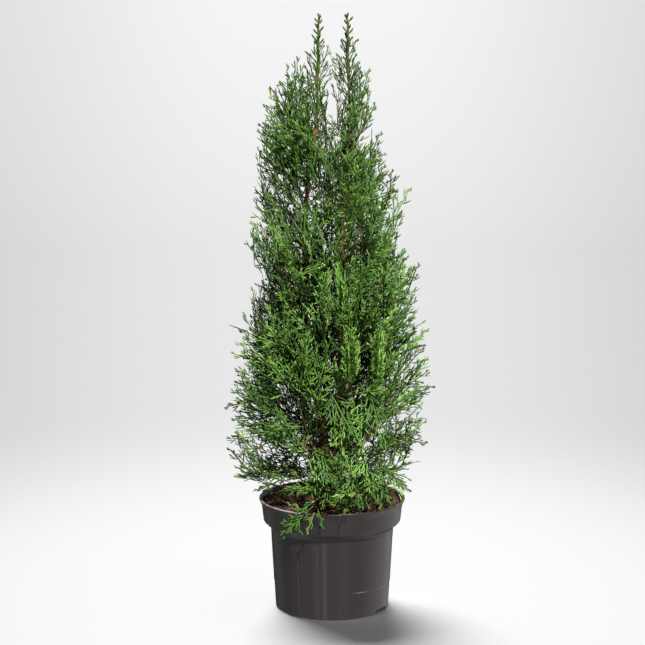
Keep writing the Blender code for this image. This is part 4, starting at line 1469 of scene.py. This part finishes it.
def nearest_wood(root, heading, held):
    """Where a twig to the root leaves the wood: near, and behind the root rather than beside it. It returns
    the place, the distance, and how straight the spray goes on, one at best."""
    run = root - held
    distance = np.linalg.norm(run, axis=1)
    straight = (run @ heading) / np.maximum(distance, 1e-6)
    best = (distance * (1.9 - 1.3 * straight)).argmin()
    return held[best], distance[best], straight[best]


fine_twigs, fine_sprays, fine_shares = [], [], []
for k in np.argsort(tip_shares, kind="stable"):
    shown = tip_shares[k] == 1.0
    for length in (lengths[k], SHORTER * lengths[k]):
        root = tips[k] - headings[k] * length
        if stands_free(bezier(root, (root + tips[k]) / 2, tips[k], 6), shown):
            break
    else:
        continue
    held = wood_of[owner[k]]
    start, distance, straight = nearest_wood(root, headings[k], held)
    bent_back = straight < BACKWARD and distance > SHORT_TWIG and not shown
    if distance > LONGEST_TWIG or bent_back:
        continue
    if distance > TOUCHING:
        knee = root - headings[k] * distance * TWIG_KNEE
        twig = bezier(start, knee, root + headings[k] * TOUCHING, 5)
        if not free_of_pot(twig).all() or (not shown and hides(twig[2:], SOIL_VIEW)):
            continue
        fine_twigs.append(twig)
        wood_of[owner[k]] = np.vstack((held, twig[2:]))
    fine_sprays.append(make_spray(root, headings[k], rolls[k], length, BOLD if shown else CLOSE))
    fine_shares.append(tip_shares[k])
print("fine sprays:", len(fine_sprays), "fine twigs:", len(fine_twigs))

# %% [markdown]
# ## Boughs, stems and twigs
#
# The boughs run on into their stems without a seam, so each pair is one limb. Only the bough over the rim
# is drawn without its stem. Stems that grow straight from a leader are limbs of their own, and the two that
# end the leaders belong to the green leader tips. Twigs are so many and so thin that three sides are enough.
# They are all worked out at once, as one array of paths: twig by ring by coordinate.

# %% Boughs and stems
STEM_RADII = (0.0019, 0.0007)
LEADER_TIP_RADII = (0.0025, 0.0015)
BOUGH_END = 0.0008
RIM_BOUGH_END = 0.0011
STEM_INSET = 0.003
BOUGH_INSET = 0.004
LEADER_TIP_TOP = TREE_TOP - 0.003


def limb_rows(name, bough, stem):
    """The path of a bough with its stem, or of a stem alone, begun a little inside the limb it leaves."""
    first = stem if bough is None else bough
    inward = first[0] - unit(first[1] - first[0]) * (STEM_INSET if bough is None else BOUGH_INSET)
    if name.startswith("tip"):
        end = stem[-1] * (0.9, 1, 0) + UP * LEADER_TIP_TOP
        return with_radii(np.vstack((inward, stem, end)), *LEADER_TIP_RADII)
    if bough is None:
        return with_radii(np.vstack((inward, stem)), *STEM_RADII)
    if name == "over_rim":
        return with_radii(np.vstack((inward, bough)), BOUGH_RADIUS, RIM_BOUGH_END)
    return with_radii(np.vstack((inward, bough, stem[1:])), BOUGH_RADIUS, BOUGH_END)


bough_limbs, tip_limbs = [], []
for number, mass in enumerate(masses):
    surface = limb_surface(smooth(limb_rows(*mass), 0.005), 10, 0.07, 60 + number)
    (tip_limbs if mass[0].startswith("tip") else bough_limbs).append(surface)
bough_nodes = ["bough_" + name for name, bough, _ in masses if bough is not None]
bough_wood = bark_finish("bark_tan", (0.100, 0.055, 0.026), (0.260, 0.155, 0.075), (0.440, 0.290, 0.165))
bough_points, bough_faces = join(bough_limbs)
add_piece("boughs", bough_points, bough_faces, bough_wood, bough_nodes)
print("boughs and stems:", len(bough_limbs))

# %% Twigs
TWIG_END = 0.0006


def thin_tubes(paths, first, last, sides=3):
    """Closed tubes for an array of paths (tube, ring, xyz), tapering from the first radius to the last."""
    radii = np.linspace(first, last, paths.shape[1])[:, None]
    return closed_tubes(rings_round(paths, radii, sides), paths[:, :1], paths[:, -1:])


all_twigs = np.array([twig for twigs in twigs_of for twig in twigs] + fine_twigs)
twig_finish = plain_finish("twig_green_brown", (0.040, 0.044, 0.011), 0.7)
twig_points, twig_faces = thin_tubes(all_twigs, TWIG_RADIUS, TWIG_END)
add_piece("twigs", twig_points, twig_faces, twig_finish)
print("twigs:", len(all_twigs), "faces:", sum(map(len, twig_faces)))

# %% [markdown]
# ## A flat spray
#
# A spray branches in one plane, like a fern. Side axes leave the rib by turns to both sides at about
# forty degrees and bend forward, and are longest a third of the way up. Short shoots leave the side
# axes in the same way. The plan below gives every axis and shoot as a path in two coordinates, along
# the rib and across it. All side axes are worked out together, and so are all shoots, as arrays. There are
# three styles: close sprays in the crown, bold ones for the fans that stand out, and open ones at the
# outline and high up, where the shoots stand apart.

# %% Plan of a spray
AXIS_GAP = 0.0090
AXIS_ANGLE = 44.0
AXIS_START = 0.08
AXIS_SPAN = 0.88
AXIS_PLACES = (0.00, 0.10, 0.30, 0.60, 0.85, 1.00)
AXIS_REACHES = (0.20, 0.34, 0.36, 0.27, 0.14, 0.07)
SHOOT_GAP = 0.0078
SHOOT_ANGLE = 44.0
SHOOT_LENGTH = 0.0114
# How many side axes, how long they are, and how far apart their shoots stand, as shares of the values above
STYLES = {
    CLOSE: (1.00, 1.00, 1.00),
    BOLD: (1.25, 1.25, 1.55),
    OPEN: (0.78, 1.10, 1.40),
}


def plan_spray(length, seed, style):
    """Rib, side axes and shoots as arrays of paths (path, point, uv), in metres along and across the rib."""
    more_axes, more_reach, more_gap = STYLES[style]
    rng = np.random.default_rng(seed)
    count = round(length / AXIS_GAP * more_axes)
    order = np.arange(count)
    place = length * (AXIS_START + AXIS_SPAN * (order + 0.5) / count)
    place = place + rng.uniform(-0.0010, 0.0010, count)
    side = np.where(order % 2, 1.0, -1.0)
    reach = length * np.interp(place / length, AXIS_PLACES, AXIS_REACHES) * rng.uniform(0.75, 1.2, count)
    reach = reach * more_reach
    angle = np.radians(AXIS_ANGLE) * rng.uniform(0.8, 1.2, count) * (1.15 - 0.35 * place / length)
    sway = 0.02 * length * math.sin(rng.uniform(0, 6))

    def on_rib(u):
        return np.stack((u, sway * np.sin(u / length * 3.0)), axis=-1)

    rib = on_rib(np.linspace(0, length, 7))[None]
    start = on_rib(place)
    first = np.stack((np.cos(angle), side * np.sin(angle)), axis=-1)
    second = np.stack((np.cos(angle * 0.65), side * np.sin(angle * 0.65)), axis=-1)
    knee = start + first * (reach * 0.5)[:, None]
    end = knee + second * (reach * 0.5)[:, None]
    t = np.array((0.0, 0.30, 0.68, 1.0))[None, :, None]
    axes = curve(start[:, None], knee[:, None], end[:, None], t)

    shoots_on = np.maximum(1, ((reach - 0.35 * SHOOT_LENGTH) / (SHOOT_GAP * more_gap)).astype(int))
    axis = np.repeat(order, shoots_on)
    number = np.arange(len(axis)) - np.repeat(np.cumsum(shoots_on) - shoots_on, shoots_on)
    t = ((number + 0.62 + rng.uniform(-0.2, 0.2, len(axis))) / (shoots_on[axis] + 0.75))[:, None]
    root = curve(start[axis], knee[axis], end[axis], t)
    ahead = unit((1 - t) * first[axis] + t * second[axis])
    turn = np.radians(SHOOT_ANGLE * rng.uniform(0.75, 1.25, len(axis)))
    turn = turn * np.where(number % 2, 1, -1) * side[axis]
    cos, sin = np.cos(turn)[:, None], np.sin(turn)[:, None]
    aside = np.hstack((ahead[:, :1] * cos - ahead[:, 1:] * sin, ahead[:, :1] * sin + ahead[:, 1:] * cos))
    long = SHOOT_LENGTH * rng.uniform(0.7, 1.2, len(axis)) * (1.1 - 0.4 * t[:, 0])
    long = np.minimum(long, 0.75 * reach[axis])[:, None]
    low = root + aside * long * 0.22
    high = low + unit(aside + 0.15 * ahead) * long * 0.62
    tip = high + unit(aside + 0.5 * ahead) * long * 0.16
    return rib, axes, np.stack((root, low, high, tip), axis=1)


# %% [markdown]
# A shoot is a flattened spindle with a pole at each end and two rings of four corners: four quads and eight
# triangles. The axes are made in the same way, and the rib has more rings. The corners stand to both sides
# of the path in the spray's plane, and a little above and below it, so light falls off across each shoot as
# it does on the real scales. The second ring is wider and near the end, which makes the tips blunt. A spray
# is placed by taking the plan that is nearest in length and laying it in the spray's plane, bent a little
# out of it.


# %% Spindles
def spindles(paths, normals, widths, thickness):
    """Closed flattened tubes for an array of paths (path, point, xyz). End points are poles, and each point
    between carries corners half a width aside and half a thickness along the normal, both ways."""
    inner = paths[:, 1:-1]
    ahead = unit(paths[:, 2:] - paths[:, :-2])
    side = unit(np.cross(normals[:, None], ahead))
    half = side * widths[None, :, None] / 2
    raised = np.cross(ahead, side) * thickness / 2
    rings = np.stack((inner + half, inner + raised, inner - half, inner - raised), axis=2)
    return closed_tubes(rings, paths[:, :1], paths[:, -1:])


# %% Place a plan
PLAN_LENGTHS = np.arange(0.018, 0.125, 0.009)
PLAN_KINDS = 4
plans = {
    (step, style, kind): plan_spray(PLAN_LENGTHS[step], 500 + 20 * step + 4 * style + kind, style)
    for step in range(len(PLAN_LENGTHS)) for style in STYLES for kind in range(PLAN_KINDS)
}
OPEN_SHARE = 0.72
OPEN_HEIGHT = 0.66
BEND, CUP, TWIST = 0.16, 0.25, 0.5
LOOSENESS = 0.0007
OUTLINE_MARGIN = 0.004


def along_spray(spray, share=1.0):
    """The point at a share of a spray's length, its tip at one."""
    root, heading, _, length, _ = spray
    return root + heading * length * share


def plan_style(spray):
    """Open towards the outline and high up. Elsewhere bold where the spray asks for it, or else close."""
    middle = along_spray(spray, 0.6)
    if abs(middle[0]) / reach_at(middle) > OPEN_SHARE or middle[2] > OPEN_HEIGHT:
        return OPEN
    return BOLD if spray[-1] == BOLD else CLOSE


def place_spray(spray, style, rng):
    """The plan that is nearest in length, laid in the spray's plane and bent out of it along its rib and to
    its sides. Near the outline it bends inward. It returns the paths and a normal for each path."""
    root, heading, across, length, _ = spray
    step = int(np.abs(PLAN_LENGTHS - length).argmin())
    scale = length / PLAN_LENGTHS[step]
    normal = np.cross(heading, across)
    bend, cup, twist = rng.normal(0, BEND), rng.normal(0, CUP), rng.normal(0, TWIST)
    tip = along_spray(spray)
    if style != BOLD and np.hypot(*tip[:2]) > reach_at(tip) - OUTLINE_MARGIN:
        bend = -abs(bend) * np.sign(normal[:2] @ tip[:2])
    laid = []
    kind = int(rng.integers(PLAN_KINDS))
    for paths in plans[step, style, kind]:
        u, v = paths[..., :1] * scale, paths[..., 1:] * scale
        out = (bend * u**2 + cup * v**2 + twist * u * v) / length
        loose = rng.normal(0, LOOSENESS, (len(paths), 1, 1)) * np.linspace(0, 1, paths.shape[1])[:, None]
        points = root + u * heading + v * across + (out + loose) * normal
        normals = unit(normal + 0.35 * rng.normal(0, 1, (len(paths), 3)))
        laid.append((points, normals))
    return laid


print("plans:", len(plans))

# %% [markdown]
# ## Leader tips and the spray over the rim
#
# Above the crown the two leaders are still green. They end in short single shoots that stand off by
# turns, and lower down in small sprays. Each is turned by the golden angle from the last, which keeps
# them from standing in rows. At the front left one low bough carries a fan of sprays down over the rim.

# %% Sprays and shoots on the leader tips
TIP_SHOOTS = 13
TIP_SPRAYS = 16
TIP_FOOT = 0.780
SHOOTS_FROM = 0.860
LAST_SHOOT = TREE_TOP - 0.008
TIP_SPRAY_LENGTHS = (0.052, 0.026)
TIP_SHOOT_LENGTHS = (0.0165, 0.0090)
GOLDEN_ANGLE = 137.5
TIP_TURNS = {"tip_left": 200.0, "tip_right": 20.0}
placed_sprays, tip_shoots = [], []
tip_rng = np.random.default_rng(77)
last = TIP_SPRAYS + TIP_SHOOTS
for name, _, stem in masses:
    if name not in TIP_TURNS:
        continue
    for k in range(last):
        height = np.interp(k, (0, TIP_SPRAYS, last - 1), (TIP_FOOT, SHOOTS_FROM, LAST_SHOOT))
        root = stem[0] + (stem[-1] - stem[0]) * (height - stem[0, 2]) / (stem[-1, 2] - stem[0, 2])
        out = outward(TIP_TURNS[name] + GOLDEN_ANGLE * k)
        if k < TIP_SPRAYS:
            length = np.interp(k, (0, TIP_SPRAYS), TIP_SPRAY_LENGTHS) * tip_rng.uniform(0.85, 1.15)
            spray = make_spray(root, unit(0.55 * out + UP), tip_rng.uniform(-70, 70), length, CLOSE)
            placed_sprays.append((spray, "middle" if k % 2 else "shade"))
        else:
            heading = unit(0.95 * out + UP)
            length = np.interp(k, (TIP_SPRAYS, last), TIP_SHOOT_LENGTHS) * tip_rng.uniform(0.8, 1.15)
            end = root + heading * length + UP * 0.001
            tip_shoots.append(bezier(root, root + heading * length * 0.6, end, 4))
tip_shoots = np.array(tip_shoots)

# %% Sprays over the rim, and plumes
# Over the rim: root, tip, roll
OVER_RIM = (
    ((-0.026, -0.1120, 0.1880), (-0.073, -0.1010, 0.1330), 10.0),
    ((-0.036, -0.1135, 0.1740), (-0.070, -0.1030, 0.1880), -15.0),
    ((-0.034, -0.1140, 0.1700), (-0.079, -0.0960, 0.1560), 25.0),
    ((-0.022, -0.1150, 0.1830), (-0.013, -0.1210, 0.1500), -20.0),
    ((-0.026, -0.1160, 0.1780), (-0.041, -0.1190, 0.1430), 30.0),
    ((-0.024, -0.1090, 0.1930), (-0.056, -0.1130, 0.1720), -30.0),
)
# Plumes, upright at the front: root, tip. Four narrow sprays stand about one axis.
PLUMES = (
    ((0.065, -0.088, 0.352), (0.069, -0.128, 0.458)),
    ((0.028, -0.092, 0.354), (0.022, -0.131, 0.462)),
    ((0.020, -0.088, 0.450), (0.013, -0.121, 0.545)),
)
PLUME_WIDTH = 0.50
PLUME_ROLLS = (20.0, 62.0, 104.0, 146.0)


def spray_between(root, tip, roll, share, style):
    """A spray from root towards tip, over a share of the way."""
    root, tip = np.array(root), np.array(tip)
    return make_spray(root, unit(tip - root), roll, np.linalg.norm(tip - root) * share, style)


for number, (root, tip, roll) in enumerate(OVER_RIM):
    green = "fresh" if number % 3 == 1 else "middle"
    placed_sprays.append((spray_between(root, tip, roll, 1.0, CLOSE), green))
for root, tip in PLUMES:
    for k, roll in enumerate(PLUME_ROLLS):
        root, heading, across, long, style = spray_between(root, tip, roll, 1.0 - 0.07 * k, BOLD)
        narrow = (root, heading, across * PLUME_WIDTH, long, style)
        placed_sprays.append((narrow, "bright" if k == 1 else "fresh"))
print("sprays placed by hand:", len(placed_sprays), "shoots on the leader tips:", len(tip_shoots))

# %% [markdown]
# ## Dealing out the greens
#
# Foliage deep in the crown is old and dark, and its dark green is partly painted shade, there and at the
# crown's foot. The shade green, high up and where sprays stand apart against the sky, is painted shade of
# backlit shoots. Foliage at the surface is a clear green, and the low front holds the freshest sprays. Each
# spray gets one of five plain greens by draw, with chances that follow its place. Sprays of one green and one
# part of the crown are joined into one piece.

# %% Chances of the greens
GREENS = {
    "deep": (0.0065, 0.0210, 0.0030),
    "shade": (0.044, 0.088, 0.014),
    "middle": (0.078, 0.174, 0.026),
    "fresh": (0.170, 0.335, 0.056),
    "bright": (0.240, 0.412, 0.086),
}
GREEN_NAMES = tuple(GREENS)
# Each rule gives places and what it says there. A share is that of the crown's reach.
FRONT_BY_HEIGHT = (0.20, 0.24, 0.36, 0.52), (0.1, 1, 1, 0)
FRONT_BY_SIDE = (-0.05, 0.01), (0.35, 1.0)
APART_BY_HEIGHT = (0.58, 0.72), (0, 1)
APART_BY_SHARE = (0.66, 0.86), (0, 1)
LOW_BY_HEIGHT = (0.21, 0.29), (1.0, 0.0)
LOW_BY_SHARE = (0.70, 1.0), (1.0, 0.35)
DEEP_BY_SHARE = (0.42, 0.86), (3.0, 0.04)
DEEP_BY_HEIGHT = (0.56, 0.78), (1.0, 0.1)
FRESH_BY_SHARE = (0.4, 0.9), (0.02, 0.50)
BRIGHT_BY_SHARE = (0.6, 1.0), (0.00, 0.04)


def deal_green(tip, share, rng):
    """The name of a spray's green. Its chances change with the depth in the crown, towards the low front, at
    the foot of the crown, and where sprays stand apart against the sky. The darker greens there are partly
    painted shade."""
    front = np.clip(-tip[1] / 0.12, 0, 1) * np.interp(tip[2], *FRONT_BY_HEIGHT)
    front *= np.interp(tip[0], *FRONT_BY_SIDE)
    aside = np.abs(tip[0]) / reach_at(tip)
    apart = max(np.interp(tip[2], *APART_BY_HEIGHT), 0.7 * np.interp(aside, *APART_BY_SHARE))
    low = np.interp(tip[2], *LOW_BY_HEIGHT) * np.interp(share, *LOW_BY_SHARE)
    low_inner_shade = low * (share < 0.95)
    # The deep and shade greens are partly painted shade: inside the crown, at its foot and against the sky.
    chances = np.array((
        np.interp(share, *DEEP_BY_SHARE) * np.interp(tip[2], *DEEP_BY_HEIGHT) + 0.50 * low_inner_shade,
        0.03 + 0.62 * apart + 0.50 * low,
        0.70,
        (np.interp(share, *FRESH_BY_SHARE) + 0.30 * front) * (1 - 0.25 * apart),
        np.interp(share, *BRIGHT_BY_SHARE) + 0.12 * front * share,
    ))
    return GREEN_NAMES[int(rng.choice(len(chances), p=chances / chances.sum()))]


# %% Deal every spray to a part of the crown and a green
GROUPS = {
    "low": ("skirt", "lower", "over_rim"),
    "middle": ("middle", "upper"),
    "high": ("shoulder", "neck", "crest", "tip"),
}
GROUP_TOPS = (0.330, 0.520)
deal_rng = np.random.default_rng(9)
dealt = {}
# With each spray goes its share of the crown's reach, None where that is still to be found, or its green
every_spray = [
    (spray, None) for (name, _, _), sprays in zip(masses, sprays_of) for spray in sprays
    if not name.startswith(("tip", "over_rim")) and not hides(spray_points(spray), SOIL_VIEW)
]
every_spray += list(zip(fine_sprays, fine_shares)) + placed_sprays
for spray, share in every_spray:
    tip = along_spray(spray)
    if share is None:
        share = float(np.hypot(*tip[:2]) / reach_at(tip))
    green = share if share in GREENS else deal_green(tip, share, deal_rng)
    group = tuple(GROUPS)[int(np.searchsorted(GROUP_TOPS, (spray[0] + tip)[2] / 2))]
    style = plan_style(spray)
    for kind, laid in enumerate(place_spray(spray, style, deal_rng)):
        dealt.setdefault((group, green, kind, style), []).append(laid)
print("sprays in all:", len(every_spray))

# %% Foliage pieces
RIB_WIDTHS = np.array((0.0016, 0.0019, 0.0020, 0.0019, 0.0018))
AXIS_WIDTHS = np.array((0.0018, 0.0019))
SHOOT_WIDTHS = np.array((0.0016, 0.0021))
KIND_WIDTHS = (RIB_WIDTHS, AXIS_WIDTHS, SHOOT_WIDTHS)
BOLD_WIDTH = 1.35
SHOOT_DEPTH = 0.0010
LEAF_ROUGHNESS = 0.55
GLOSS = 0.30
DEEP_GLOSS = 0.06
green_finishes = {
    green: plain_finish("foliage_" + green, colour, LEAF_ROUGHNESS, DEEP_GLOSS if green == "deep" else GLOSS)
    for green, colour in GREENS.items()
}


def dealt_surfaces(group, green):
    """The spindles of one part of the crown and one green, for each kind of axis and style at a time."""
    for (laid_group, laid_green, kind, style), laid in dealt.items():
        if (laid_group, laid_green) == (group, green):
            paths, normals = (np.concatenate(arrays) for arrays in zip(*laid))
            widths = KIND_WIDTHS[kind] * (BOLD_WIDTH if style == BOLD else 1.0)
            yield spindles(paths, normals, widths, SHOOT_DEPTH)


total = 0
for group, tiers in GROUPS.items():
    nodes = [f"foliage_{name}" for name, _, _ in masses if name.startswith(tiers)]
    for green in GREENS:
        points, faces = join(dealt_surfaces(group, green))
        triangles = sum(len(part) * (part.shape[1] - 2) for part in faces)
        total += triangles
        add_piece(f"foliage_{group}_{green}", points, faces, green_finishes[green],
                  nodes if green == "middle" else ())
        print("foliage", group, green, triangles, "triangles")
print("foliage in all:", total, "triangles")

# %% Leader tips
LEADER_SHOOT_WIDTHS = SHOOT_WIDTHS * 1.5
LEADER_SHOOT_DEPTH = 0.0026
shoot_normals = np.tile((0.3, -1.0, 0.2), (len(tip_shoots), 1))
tip_limbs.append(spindles(tip_shoots, shoot_normals, LEADER_SHOOT_WIDTHS, LEADER_SHOOT_DEPTH))
tip_points, tip_faces = join(tip_limbs)
tip_finish = plain_finish("foliage_leader_tips", (0.078, 0.120, 0.022), LEAF_ROUGHNESS, GLOSS)
add_piece("leader_tips", tip_points, tip_faces, tip_finish)
print("leader tips:", len(tip_points), "points")
